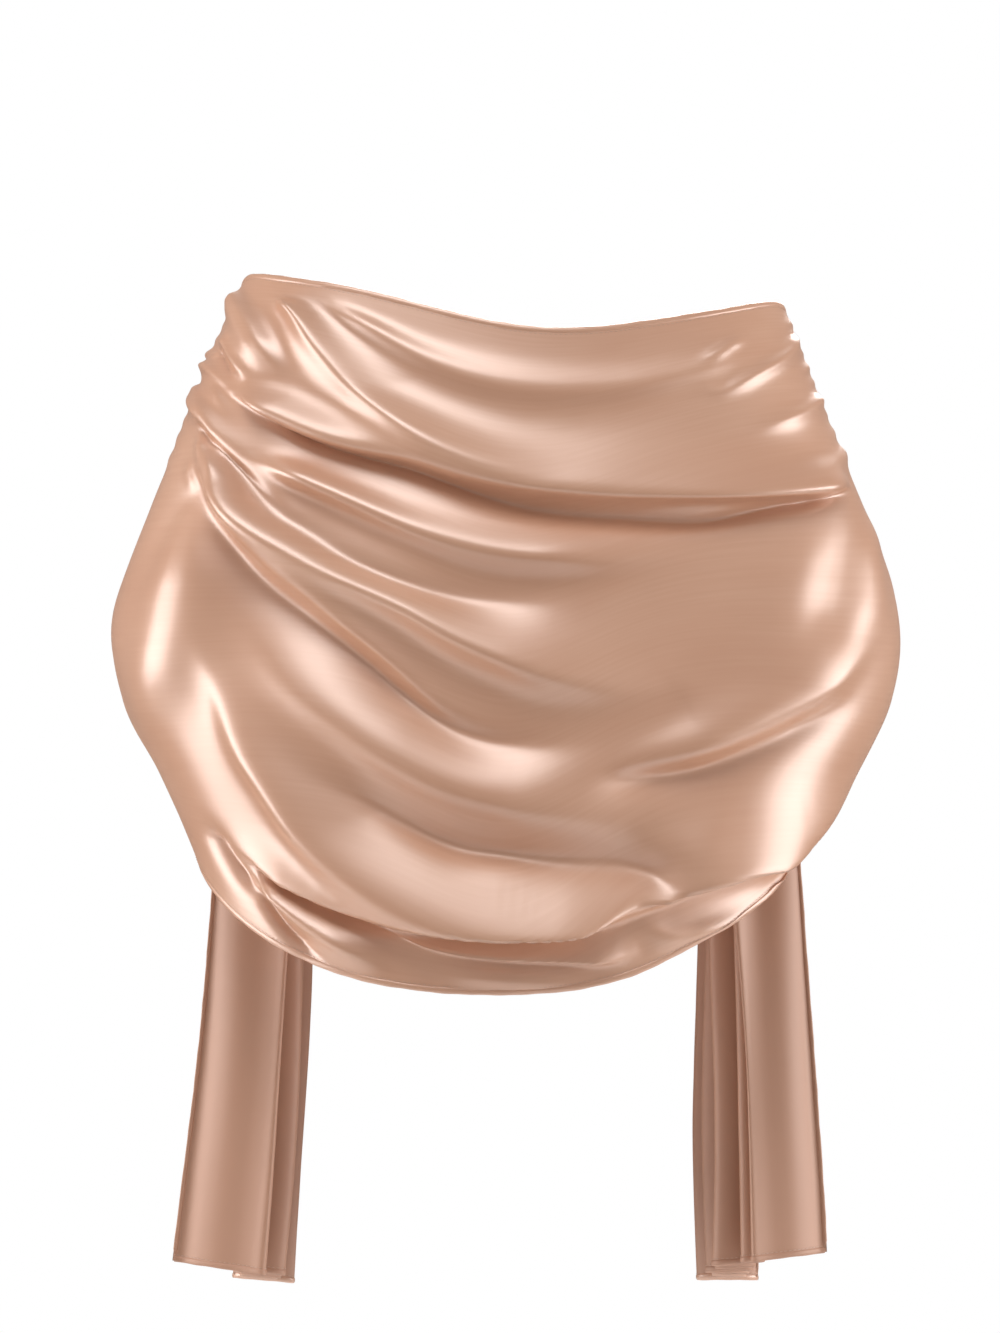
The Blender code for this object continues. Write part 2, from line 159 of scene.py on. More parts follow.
# One fold: its crest, its height (a crease has one below nothing), how far it reaches above
# and below the crest, how blunt it is (1 for a taut fold with a fine edge, 2 for a soft
# roll), how far it leans over downhill in degrees, the shares of its length over which it
# rises and dies away, and how narrow it is at its start and end.
Fold = namedtuple("Fold", "name crest height above below blunt lean rise fade start end")

# The back's folds, from the left. Their crests are places (x, z) as seen from behind.
BACK_FOLDS = [
    Fold("top_patch", [(-204, 258), (-195, 232), (-184, 208), (-166, 184)],
         9, 14, 18, 2.0, 0, .15, .40, .60, 1),
    Fold("edge_ripple", [(-141, 256), (-124, 246), (-98, 230), (-68, 212), (-30, 198), (15, 189),
                         (68, 189), (112, 195), (158, 208), (194, 225)],
         5, 26, 20, 1.7, 0, .15, .35, .35, .70),
    Fold("upper_sweep", [(-173, 258), (-159, 242), (-146, 223), (-129, 201), (-111, 184), (-82, 166),
                         (-45, 148), (0, 136), (45, 132)],
         13, 24, 16, 1.3, 5, .10, .45, .35, 1.1),
    Fold("collar_roll", [(-208, 192), (-189, 182), (-158, 167), (-120, 154), (-82, 146), (-45, 136),
                         (-8, 127), (38, 121), (98, 118), (158, 117), (210, 118), (254, 119)],
         19, 34, 15, 1.6, 30, .10, .10, .35, .40),
    Fold("collar_crease", [(-194, 183), (-169, 166), (-150, 155), (-120, 144), (-82, 133), (-45, 120),
                           (-8, 106), (38, 97), (98, 92), (154, 92), (188, 99), (218, 106), (254, 114)],
         -10, 14, 12, 1.1, 0, .12, .12, .50, .40),
    Fold("second_swag", [(-191, 141), (-158, 124), (-120, 106), (-82, 90), (-45, 76), (-8, 68),
                         (38, 63), (98, 63), (158, 69)],
         14, 24, 18, 1.5, 10, .12, .40, .35, 1),
    Fold("short_sharp", [(-226, 180), (-212, 152), (-188, 126), (-165, 103), (-142, 85), (-120, 70)],
         9, 12, 8, 1.1, 25, .40, .45, .30, 1.1),
    Fold("sharp_crease", [(-224, 162), (-208, 139), (-195, 123), (-180, 105), (-169, 95), (-150, 82),
                          (-120, 63), (-82, 45), (-45, 34), (0, 28), (52, 26)],
         -9, 12, 12, 1.2, 0, .20, .50, .35, 1.6),
    Fold("bright_swag", [(-224, 158), (-217, 138), (-206, 114), (-188, 93), (-158, 71), (-120, 50),
                         (-82, 30), (-45, 9), (-8, -8), (30, -22), (68, -32), (112, -36), (165, -32)],
         22, 34, 20, 1.4, 15, .24, .40, .15, 1),
    Fold("second_bright", [(-230, 152), (-224, 131), (-214, 108), (-194, 84), (-172, 60), (-142, 34),
                           (-120, 14), (-94, -8), (-60, -40), (-22, -63)],
         14, 15, 12, 1.1, 20, .30, .40, .20, 1.2),
    Fold("second_crease", [(-230, 128), (-213, 98), (-191, 62), (-172, 39), (-148, 21), (-120, -4),
                           (-82, -40), (-45, -66), (0, -79), (52, -81), (105, -76)],
         -11, 10, 20, 1.3, 0, .22, .50, .35, 1.6),
    Fold("low_swag", [(-202, 41), (-186, 14), (-166, -14), (-142, -44), (-112, -69), (-82, -89),
                      (-45, -107), (-8, -118), (38, -125), (82, -127), (128, -121)],
         15, 38, 22, 1.7, 10, .45, .35, .60, 1),
    Fold("right_crease", [(52, -104), (98, -104), (142, -96), (180, -81), (218, -62), (255, -36)],
         -8, 12, 14, 1.4, 0, .30, .30, .80, .80),
    Fold("right_swag", [(68, -87), (105, -88), (142, -80), (180, -63), (218, -40), (251, -11), (272, 11)],
         13, 34, 14, 1.7, 5, .35, .35, .70, 1),
    Fold("pale_crease", [(-165, -75), (-135, -105), (-82, -135), (-45, -152), (-8, -160), (38, -166),
                         (82, -169), (118, -172), (154, -173)],
         -12, 16, 12, 1.3, 0, .35, .15, 1, .50),
    Fold("pale_swag", [(-230, 22), (-220, -15), (-206, -50), (-186, -88), (-168, -117), (-146, -144),
                       (-120, -166), (-82, -184), (-45, -196), (0, -203), (45, -202), (98, -195),
                       (135, -184), (158, -175)],
         20, 34, 14, 1.5, 15, .40, .25, .60, .30),
    Fold("right_panel", [(82, -154), (112, -162), (142, -165), (180, -159), (214, -146), (240, -126),
                         (256, -104)],
         15, 40, 14, 1.8, 10, .30, .45, .60, .60),
    Fold("side_ridge", [(-226, 122), (-238, 76), (-248, 30), (-259, -15), (-268, -52), (-262, -88)],
         12, 26, 26, 1.8, 0, .35, .45, .35, 1),
    Fold("panel_edge", [(-212, -152), (-195, -159), (-180, -164), (-158, -174), (-128, -186),
                        (-82, -196), (-45, -200), (8, -202), (45, -200), (98, -195)],
         17, 16, 8, 1.1, 60, .15, .15, .60, .60),
    Fold("panel_crease", [(-204, -165), (-186, -172), (-158, -188), (-136, -200), (-98, -211), (-45, -216),
                          (30, -217), (80, -213)],
         -11, 7, 8, 1.1, 0, .12, .60, .70, .80),
    Fold("right_edge", [(92, -196), (114, -187), (135, -177), (154, -168), (180, -159), (202, -152),
                        (218, -147)],
         14, 12, 6, 1.1, 50, .20, .25, .60, .60),
    Fold("second_edge", [(-120, -206), (-82, -215), (-45, -225), (-8, -230), (45, -232), (101, -236)],
         12, 11, 6, 1.1, 45, .25, .20, .70, .70),
    Fold("hook_ridge", [(178, -202), (146, -215), (112, -220), (92, -217), (81, -222), (86, -230)],
         4, 6, 5, 1.3, 0, .40, .50, .70, 1),
    Fold("left_wedge", [(-193, -177), (-176, -189), (-158, -204), (-128, -225), (-86, -249)],
         13, 13, 9, 1.2, 10, .20, .45, .50, 1.3),
    Fold("wedge_crease", [(-197, -180), (-184, -200), (-167, -218), (-135, -238)],
         -8, 6, 6, 1.1, 0, .30, .40, 1, 1),
    Fold("left_corner", [(-225, -142), (-214, -161), (-202, -180), (-190, -198)],
         -10, 9, 9, 1.1, 0, .25, .40, .80, 1),
    Fold("lower_roll", [(-68, -246), (-22, -252), (22, -254), (68, -252)],
         4, 8, 8, 2.0, 0, .40, .40, 1, 1),
    Fold("right_band", [(124, -226), (148, -217), (172, -203), (196, -186), (214, -164)],
         6, 12, 9, 1.5, 15, .50, .30, 1, .80),
    Fold("fan_inner", [(234, 99), (230, 60), (224, 22), (214, -11), (201, -41)],
         5, 24, 24, 2.0, 0, .40, .45, .60, 1),
    Fold("fan_outer", [(266, 84), (270, 60), (271, 34), (262, 8), (246, -16), (222, -38)],
         4.5, 18, 18, 1.9, 0, .40, .45, .60, 1),
    Fold("fan_crease", [(249, 90), (244, 52), (237, 15), (222, -15)],
         -3.5, 12, 12, 1.7, 0, .40, .40, .70, 1),
    Fold("crumple_high", [(142, 204), (159, 216), (178, 230)],
         3, 8, 8, 1.6, 0, .40, .40, 1, 1),
    Fold("crumple_upper", [(142, 201), (159, 186), (180, 196), (201, 208), (215, 226)],
         4, 9, 8, 1.3, 0, .40, .20, 1, .70),
    Fold("crumple_middle", [(176, 154), (199, 162), (218, 170), (233, 180)],
         4, 9, 8, 1.2, 0, .40, .20, 1, .70),
    Fold("crumple_low", [(194, 128), (218, 129), (242, 136)],
         3, 8, 7, 1.3, 0, .40, .20, 1, .70),
    Fold("gather_1", [(-213, 231), (-211, 216), (-204, 204), (-195, 195), (-186, 189)],
         5, 5, 5, 1.2, 0, .25, .40, 1, 1),
    Fold("gather_2", [(-218, 218), (-218, 202), (-209, 188), (-200, 177)],
         5.5, 5, 5, 1.2, 0, .25, .40, 1, 1),
    Fold("gather_3", [(-220, 202), (-218, 187), (-210, 172), (-197, 165)],
         4, 5, 5, 1.2, 0, .35, .40, 1, 1),
    Fold("gather_4", [(-224, 183), (-222, 167), (-213, 153), (-200, 146)],
         4.5, 6, 5, 1.2, 0, .35, .40, 1, 1),
    Fold("gather_5", [(-227, 156), (-225, 141), (-216, 128), (-206, 118)],
         5, 5, 5, 1.2, 0, .30, .40, 1, 1),
    Fold("gather_6", [(-231, 160), (-231, 141), (-226, 124), (-216, 112)],
         4, 5, 5, 1.2, 0, .40, .40, 1, 1),
    Fold("gather_7", [(-238, 138), (-238, 122), (-231, 108)],
         3, 5, 5, 1.2, 0, .40, .40, 1, 1),
    Fold("gather_crease_1", [(-216, 221), (-212, 207), (-202, 195)],
         -4, 4, 4, 1.2, 0, .30, .40, 1, 1),
    Fold("gather_crease_2", [(-222, 206), (-216, 189), (-204, 177)],
         -4, 4, 4, 1.2, 0, .30, .40, 1, 1),
    Fold("gather_crease_3", [(-222, 190), (-219, 174), (-207, 162)],
         -4, 4, 4, 1.2, 0, .35, .40, 1, 1),
    Fold("gather_crease_4", [(-226, 166), (-224, 150), (-217, 136)],
         -4, 4, 4, 1.2, 0, .35, .40, 1, 1),
]

# Soft ridges down the outer panel of each tail. Their crests are places (along, down), and
# they lean over wholly, so they lift the panel towards its back or its front.
TAIL_FOLDS = [
    Fold("left_side_high", [(-424, 176), (-378, 196), (-334, 232), (-300, 272), (-262, 306)],
         6, 18, 12, 1.6, 12, .25, .50, .60, 1.1),
    Fold("left_side_upper", [(-432, 236), (-388, 272), (-344, 326), (-304, 392), (-262, 446)],
         9, 22, 14, 1.5, 15, .25, .50, .55, 1.1),
    Fold("left_side_crease", [(-436, 286), (-396, 326), (-352, 386), (-318, 440), (-290, 480)],
         -6, 11, 13, 1.5, 0, .30, .50, .60, 1),
    Fold("left_side_middle", [(-438, 326), (-394, 378), (-350, 448), (-312, 516), (-276, 566)],
         10, 24, 15, 1.5, 15, .25, .45, .55, 1.1),
    Fold("left_side_low", [(-444, 428), (-404, 476), (-362, 540), (-322, 602), (-296, 630)],
         8, 21, 13, 1.5, 12, .25, .45, .60, 1.1),
    Fold("left_side_hem", [(-446, 540), (-412, 566), (-376, 606), (-344, 646)],
         5, 15, 11, 1.5, 0, .35, .40, .70, 1),
    Fold("right_side_high", [(422, 158), (380, 176), (338, 204), (300, 236), (268, 262)],
         5, 16, 12, 1.6, 12, .25, .50, .60, 1.1),
    Fold("right_side_upper", [(434, 222), (390, 252), (346, 296), (308, 346), (270, 384)],
         8, 20, 13, 1.5, 15, .25, .50, .55, 1.1),
    Fold("right_side_middle", [(436, 300), (394, 356), (352, 422), (312, 484), (276, 526)],
         9, 24, 15, 1.5, 15, .25, .45, .55, 1.1),
    Fold("right_side_crease", [(440, 352), (404, 402), (366, 462), (328, 520), (300, 560)],
         -6, 11, 13, 1.5, 0, .30, .50, .60, 1),
    Fold("right_side_low", [(444, 412), (402, 466), (360, 528), (320, 586), (292, 622)],
         8, 22, 14, 1.5, 12, .25, .45, .60, 1.1),
    Fold("right_side_hem", [(446, 528), (414, 560), (378, 598), (346, 632)],
         5, 15, 11, 1.5, 0, .35, .40, .70, 1),
    Fold("left_front_ridge", [(-440, 654), (-500, 640), (-580, 650), (-720, 638), (-860, 646), (-1020, 640)],
         5, 15, 18, 1.9, 0, .10, .001, .70, 1.1),
    Fold("left_front_hollow", [(-560, 606), (-700, 600), (-860, 608), (-1020, 604)],
         -4, 13, 14, 1.9, 0, .20, .001, .70, 1.1),
    Fold("right_front_ridge", [(440, 660), (510, 646), (600, 636), (740, 648), (880, 640), (1020, 648)],
         5, 17, 15, 1.9, 0, .10, .001, .70, 1.1),
    Fold("right_front_hollow", [(570, 612), (710, 604), (870, 600), (1020, 610)],
         -4, 13, 14, 1.9, 0, .20, .001, .70, 1.1),
    Fold("left_loop_inner", [(-430, 60), (-480, 72), (-530, 70), (-600, 62)],
         4, 16, 14, 1.8, 0, .30, .40, .70, 1),
    Fold("right_loop_inner", [(430, 52), (482, 62), (536, 58), (610, 54)],
         4, 15, 14, 1.8, 0, .30, .40, .70, 1),
    Fold("left_tail_side", [(-560, 70), (-700, 68), (-860, 66), (-1020, 66)],
         14, 34, 30, 2.0, 0, .20, .001, 1, 1),
    Fold("right_tail_side", [(560, 54), (700, 54), (860, 54), (1020, 54)],
         15, 30, 30, 2.0, 0, .20, .001, 1, 1),
    Fold("left_tail_ridge", [(-560, 20), (-700, 24), (-860, 30), (-1020, 34)],
         5, 12, 12, 1.9, 90, .30, .001, .70, 1.2),
    Fold("left_tail_hollow", [(-600, 46), (-740, 48), (-900, 54), (-1020, 56)],
         -5, 11, 11, 1.9, 90, .40, .001, .60, 1.2),
    Fold("right_tail_ridge", [(560, 16), (700, 18), (860, 22), (1020, 24)],
         -5, 9, 9, 1.9, 90, .30, .001, .70, 1.2),
    Fold("right_tail_hollow", [(560, 34), (700, 36), (860, 42), (1020, 44)],
         5, 9, 9, 1.9, 90, .30, .001, .70, 1.2),
]

# The short wrinkles where each side is drawn together: where one starts and ends,
# measured down from the upper edge, how far round the back it runs, and its height.
Wrinkle = namedtuple("Wrinkle", "outer inner runs_to height")
LEFT_WRINKLES = [
    Wrinkle(16, 52, 214, 1.7),
    Wrinkle(40, 84, 206, 2.1),
    Wrinkle(61, 110, 222, 1.7),
    Wrinkle(84, 128, 202, 2.3),
    Wrinkle(108, 158, 210, 1.8),
    Wrinkle(127, 176, 220, 2.2),
    Wrinkle(152, 196, 204, 1.9),
    Wrinkle(171, 222, 216, 2.3),
    Wrinkle(196, 238, 208, 2.0),
    Wrinkle(216, 262, 218, 2.2),
    Wrinkle(240, 280, 212, 1.8),
]
RIGHT_WRINKLES = [
    Wrinkle(30, 58, 220, 1.7),
    Wrinkle(56, 92, 208, 2.0),
    Wrinkle(82, 112, 226, 1.7),
    Wrinkle(104, 144, 206, 2.2),
    Wrinkle(130, 160, 218, 1.7),
    Wrinkle(152, 190, 210, 2.0),
    Wrinkle(178, 206, 224, 1.7),
    Wrinkle(200, 236, 212, 2.0),
    Wrinkle(226, 252, 222, 1.7),
]

# Where the photo is taken from, and the step and limit of the search for a place seen there.
CAMERA_PLACE = (-7.5, -2600.0, -20.0)
SEARCH_STEP = 2.5
SEARCH_LIMIT = 310.0
CREST_POINTS = 60
# How finely the tip of a fold is rounded, and how softly its two sides of a bend meet.
TIP = 2.6
BLEND = 5.0


def smooth_step(share):
    """Rises from 0 to 1 with level ends as share goes from 0 to 1."""
    share = np.clip(share, 0, 1)
    return share * share * (3 - 2 * share)


def curve_through(knots, values, at):
    """Natural cubic curve through values at the knots, read at the places `at`."""
    knots = np.asarray(knots, float)
    values = np.asarray(values, float)
    at = np.asarray(at, float)
    count = len(knots)
    step = np.diff(knots)
    flat = values.reshape(count, -1)
    slope = np.diff(flat, axis=0) / step[:, None]
    system = np.eye(count)
    bend = np.zeros_like(flat)
    for i in range(1, count - 1):
        system[i, i - 1:i + 2] = step[i - 1], 2 * (step[i - 1] + step[i]), step[i]
        bend[i] = 6 * (slope[i] - slope[i - 1])
    second = np.linalg.solve(system, bend)
    i = np.clip(np.searchsorted(knots, at, side="right") - 1, 0, count - 2)
    width = step[i][..., None]
    before = knots[i + 1][..., None] - at[..., None]
    after = at[..., None] - knots[i][..., None]
    curve = (second[i] * before ** 3 + second[i + 1] * after ** 3) / (6 * width)
    curve += (flat[i] / width - second[i] * width / 6) * before
    curve += (flat[i + 1] / width - second[i + 1] * width / 6) * after
    return curve.reshape(*at.shape, *values.shape[1:])


def rib_points(rib, side):
    """Six points of a loop's or tail's rib, from back to front: a straight line from end
    to end, plus bow * 4t(1 - t) outwards. A tail steps inwards behind its first pleat, so
    one strip of the others shows beside it."""
    t = np.linspace(0, 1, 6)
    step = TAIL_STEP if rib.place.startswith("tail") else t
    x = rib.x_back + (rib.x_front - rib.x_back) * step + rib.bow * 4 * t * (1 - t)
    y = rib.y_back + (rib.y_front - rib.y_back) * t
    z = rib.z_back + (rib.z_front - rib.z_back) * t
    return np.stack([side * x, y, z], axis=1)


def control_net():
    """Distances along the cloth and the six points at each, left tail to right tail."""
    left = [(-rib.along, rib_points(rib, -1)) for rib in reversed(LEFT_RIBS)]
    middle = [(station.along, np.array(station[2:])) for station in BACK_STATIONS]
    right = [(rib.along, rib_points(rib, 1)) for rib in RIGHT_RIBS]
    rows = left + middle + right
    return np.array([row[0] for row in rows], float), np.array([row[1] for row in rows], float)


def plain_surface(along, down):
    """The cloth's large form: natural cubic curves through the net, across then along."""
    places, points = control_net()
    across = np.linspace(0, CLOTH_WIDTH, points.shape[1])
    ribs = curve_through(across, points.transpose(1, 0, 2), down)
    return curve_through(places, ribs.transpose(1, 0, 2), along)


def directions(surface, along, down):
    """Unit vectors along the cloth, down it and out of its outer face, from its slopes."""
    ahead = np.gradient(surface, along, axis=0)
    across = np.gradient(surface, down, axis=1)
    outward = np.cross(across, ahead)
    return [v / np.linalg.norm(v, axis=2, keepdims=True) for v in (ahead, across, outward)]


def swing_for(share):
    """How far a wave swings from side to side, in radians, to draw its cloth in to a share.

    A wave whose direction is swing * sin(phase) is as long as the mean of its cosine."""
    swings = np.linspace(0, WIDEST_SWING, 101)
    phases = np.linspace(0, 2 * np.pi, 360, endpoint=False)
    lengths = np.cos(swings[:, None] * np.sin(phases)).mean(axis=1)
    return np.interp(-np.clip(share, lengths[-1], 1), -lengths, swings)


def pleat_phase(along, down):
    """Phase of the pleats across the cloth at one distance along it; one turn a pleat."""
    loop = np.array([edge.loop for edge in PLEAT_EDGES], float)
    tail = np.array([edge.left_tail if along < 0 else edge.right_tail for edge in PLEAT_EDGES], float)
    creep = smooth_step((abs(along) - LOOP_END) / 400)
    edges = loop + (tail - loop) * creep
    number = np.arange(len(edges))
    edges[1:-1] += (PLEAT_WANDER * creep * np.sin(along / 83 + 1.9 * number))[1:-1]
    turns = np.arange(len(edges), dtype=float)[:, None]
    return 2 * np.pi * curve_through(edges, turns, down)[..., 0]


def pleats(along, down):
    """Where each point of the cloth lands on its rib, and how far it stands off it.

    Across the cloth its direction is swing * sin(phase): the running sum of the cosine is
    its way forward and that of the sine its way off the rib."""
    fine = np.linspace(0, CLOTH_WIDTH, 1401)
    plain = plain_surface(along, fine)
    rib_lengths = np.linalg.norm(np.diff(plain, axis=1), axis=2).sum(axis=1)
    distance = np.abs(along)
    swings = swing_for(rib_lengths / CLOTH_WIDTH)
    swings *= smooth_step((distance - GATHER_START) / (GATHER_FULL - GATHER_START))
    # Half of a pleat's height lies inside the rib, but none where the loop is carried.
    sunk = 0.5 - 0.5 * smooth_step((distance - 365) / 60) + 0.5 * smooth_step((distance - 535) / 90)
    landing = np.zeros((len(along), len(down)))
    stand_off = np.zeros((len(along), len(down)))
    for i, swing in enumerate(swings):
        angle = swing * np.sin(pleat_phase(along[i], fine))
        forward = np.concatenate([[0], np.cumsum(np.cos(angle[1:]))])
        sideways = np.concatenate([[0], np.cumsum(np.sin(angle[1:]))]) * (fine[1] - fine[0])
        sideways -= np.linspace(0, sideways[-1], len(fine))
        landing[i] = np.interp(down, fine, forward / forward[-1] * CLOTH_WIDTH)
        stand_off[i] = np.interp(down, fine, sideways - sideways.max() * sunk[i])
    return landing, stand_off


@lru_cache(maxsize=1)
def seen_from_behind():
    """Every few millimetres of the plain back: its place on the cloth, and the place (x, z)
    where the camera sees it on the upright plane through the origin."""
    along = np.arange(-SEARCH_LIMIT, SEARCH_LIMIT + 1, SEARCH_STEP)
    down = np.arange(0, CLOTH_WIDTH + 1, SEARCH_STEP)
    surface = plain_surface(along, down)
    eye = np.array(CAMERA_PLACE)
    nearer = -eye[1] / (surface[..., 1:2] - eye[1])
    flat = eye + (surface - eye) * nearer
    places = np.stack(np.meshgrid(along, down, indexing="ij"), -1)
    return places.reshape(-1, 2), flat[..., [0, 2]].reshape(-1, 2)


def on_cloth(crest):
    """The places on the cloth that the camera sees nearest to the points (x, z)."""
    places, seen = seen_from_behind()
    apart = ((np.array(crest, float)[:, None] - seen) ** 2).sum(axis=2)
    return places[apart.argmin(axis=1)]


def side_wrinkles():
    """The short wrinkles as folds, on the left side and on the right."""
    folds = []
    for side, wrinkles in ((-1, LEFT_WRINKLES), (1, RIGHT_WRINKLES)):
        for number, wrinkle in enumerate(wrinkles):
            slope = wrinkle.inner - wrinkle.outer
            crest = [(side * 372, wrinkle.outer - 0.9 * slope), (side * 330, wrinkle.outer - 0.5 * slope),
                     (side * 285, wrinkle.outer), (side * 245, wrinkle.outer + 0.6 * slope),
                     (side * wrinkle.runs_to, wrinkle.inner)]
            rise, fade = (.45, .50)
            if side > 0:
                crest.reverse()
            folds.append(Fold(f"wrinkle_{number}", crest, wrinkle.height, 6, 5, 1.3, 0, rise, fade, 1, 1))
    return folds


def nearest_on_crest(line, a, b):
    """For each point (a, b): signed distance to the crest, positive below it, how far
    along the crest it lies from 0 to 1, and the crest's downhill direction there.

    The last three are means over the crest's steps, each weighted by
    exp(-(its distance - the least distance) / BLEND), so they change smoothly."""
    steps = np.diff(line, axis=0)
    lengths = np.linalg.norm(steps, axis=1)[:, None]
    step_a, step_b = steps[:, :1], steps[:, 1:]
    da = a[None] - line[:-1, :1]
    db = b[None] - line[:-1, 1:]
    t = np.clip((da * step_a + db * step_b) / lengths ** 2, 0, 1)
    distance = np.hypot(da - t * step_a, db - t * step_b)
    closest = distance.argmin(axis=0)
    points = np.arange(len(a))
    nearest = distance[closest, points]
    side = np.sign((step_a * db - step_b * da)[closest, points])
    weight = np.exp(-(distance - nearest) / BLEND)
    weight /= weight.sum(axis=0)
    share = (weight * (np.arange(len(steps))[:, None] + t)).sum(axis=0) / len(steps)
    down_a = (weight * -step_b / lengths).sum(axis=0)
    down_b = (weight * step_a / lengths).sum(axis=0)
    return nearest * side, share, down_a, down_b


def fold_offsets(a, b):
    """How far the folds move the cloth outwards, along itself and down itself.

    Across a fold its height falls away as exp(-u^blunt), where u is the distance from the
    crest over a reach of its own on each side, with the tip finely rounded. A fold leans
    over downhill; a crease has a height below nothing."""
    out = np.zeros_like(a)
    ahead = np.zeros_like(a)
    across = np.zeros_like(a)
    back = [(fold, on_cloth(fold.crest)) for fold in BACK_FOLDS]
    rest = [(fold, np.array(fold.crest, float)) for fold in TAIL_FOLDS + side_wrinkles()]
    for fold, corners in back + rest:
        reach = np.concatenate([[0], np.cumsum(np.linalg.norm(np.diff(corners, axis=0), axis=1))])
        line = curve_through(reach, corners, np.linspace(0, reach[-1], CREST_POINTS))
        margin = 5 * max(fold.above, fold.below)
        low, high = line.min(axis=0) - margin, line.max(axis=0) + margin
        near = (a > low[0]) & (a < high[0]) & (b > low[1]) & (b < high[1])
        distance, share, down_a, down_b = nearest_on_crest(line, a[near], b[near])
        narrowing = 1 - (1 - fold.start) * (1 - smooth_step(share / .45))
        narrowing -= (1 - fold.end) * (1 - smooth_step((1 - share) / .45))
        under = 0.5 + 0.5 * np.tanh(2 * distance / min(fold.above, fold.below))
        width = (fold.above + (fold.below - fold.above) * under) * narrowing
        strength = smooth_step(share / fold.rise) * smooth_step((1 - share) / fold.fade)
        rounded = (np.hypot(distance, TIP) - TIP) / width
        ridge = fold.height * strength * np.exp(-rounded ** fold.blunt)
        lean = np.radians(fold.lean)
        out[near] += ridge * np.cos(lean)
        ahead[near] += ridge * np.sin(lean) * down_a
        across[near] += ridge * np.sin(lean) * down_b
    return out, ahead, across


def drape(along, down):
    """The worn cloth on a grid: the large form, then its pleats, then its folds."""
    landing, stand_off = pleats(along, down)
    fine = np.linspace(0, CLOTH_WIDTH, 281)
    plain = plain_surface(along, fine)
    column = np.arange(len(along))[:, None]
    place = landing / fine[1]
    row = np.minimum(place.astype(int), len(fine) - 2)
    part = (place - row)[..., None]
    layers = [plain, *directions(plain, along, fine)]
    surface, ahead, across, outward = [
        layer[column, row] * (1 - part) + layer[column, row + 1] * part for layer in layers]
    a, b = np.meshgrid(along, down, indexing="ij")
    fold_out, fold_ahead, fold_across = fold_offsets(a, b)
    surface = surface + outward * (stand_off + fold_out)[..., None]
    return surface + ahead * fold_ahead[..., None] + across * fold_across[..., None]


WholeCloth = namedtuple("WholeCloth", "along down surface ahead across outward")


@lru_cache(maxsize=1)
def whole_cloth():
    """The whole cloth once, on every column and row, with its directions at each point."""
    parts = [np.linspace(s.start, s.end, s.columns + 1)[:-1] for s in STRETCHES]
    along = np.concatenate(parts + [[HALF_LENGTH]])
    down = np.linspace(0, CLOTH_WIDTH, ROWS + 1)
    surface = drape(along, down)
    return WholeCloth(along, down, surface, *directions(surface, along, down))


def grid_quads(columns, rows, first=0):
    """Four-cornered faces of a grid of points, counted column by column from `first`."""
    index = first + np.arange(columns * rows).reshape(columns, rows)
    a, b, c, d = index[:-1, :-1], index[1:, :-1], index[1:, 1:], index[:-1, 1:]
    return np.stack([a, d, c, b], -1).reshape(-1, 4)


def rim_quads(columns, rows):
    """One face for each edge of the border, joining the outer layer to the inner one."""
    count = columns * rows
    index = np.arange(count).reshape(columns, rows)
    border = np.concatenate([index[:-1, 0], index[-1, :-1], index[:0:-1, -1], index[0, :0:-1]])
    after = np.roll(border, -1)
    return np.stack([border, after, after + count, border + count], -1)


def put_mesh(name, points, faces, materials, choice=None, normals=None, uv=None):
    """A piece from whole arrays: points in millimetres, four-cornered faces, a material
    for each face, a normal and a cloth place for each point."""
    mesh = bpy.data.meshes.new(name)
    mesh.vertices.add(len(points))
    mesh.vertices.foreach_set("co", (points * MM).astype(np.float32).ravel())
    mesh.loops.add(faces.size)
    mesh.loops.foreach_set("vertex_index", faces.astype(np.int32).ravel())
    mesh.polygons.add(len(faces))
    mesh.polygons.foreach_set("loop_start", np.arange(0, faces.size, 4, dtype=np.int32))
    mesh.update(calc_edges=True)
    mesh.shade_smooth()
    for material in materials:
        mesh.materials.append(material)
    if choice is not None:
        mesh.polygons.foreach_set("material_index", choice.astype(np.int32))
    if uv is not None:
        layer = mesh.uv_layers.new(name=UV_NAME)
        layer.uv.foreach_set("vector", (uv[faces.ravel()] * MM).astype(np.float32).ravel())
    if normals is not None:
        mesh.normals_split_custom_set_from_vertices(normals.tolist())
    if mesh.validate():
        raise RuntimeError(f"{name} has faces that aren't sound")
    piece = bpy.data.objects.new(name, mesh)
    bpy.context.scene.collection.objects.link(piece)
    return piece


def check_place(piece, node):
    """Raises an error where a shell has strayed from the solid it stands for."""
    points = np.array([corner[:] for corner in piece.bound_box])
    low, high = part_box(node)
    off = max(np.abs(points.min(0) - np.array(low)).max(), np.abs(points.max(0) - np.array(high)).max())
    if off > PLACE_LIMIT * MM:
        raise RuntimeError(f"{piece.name} is {off / MM:.1f} mm off the solid {node}")


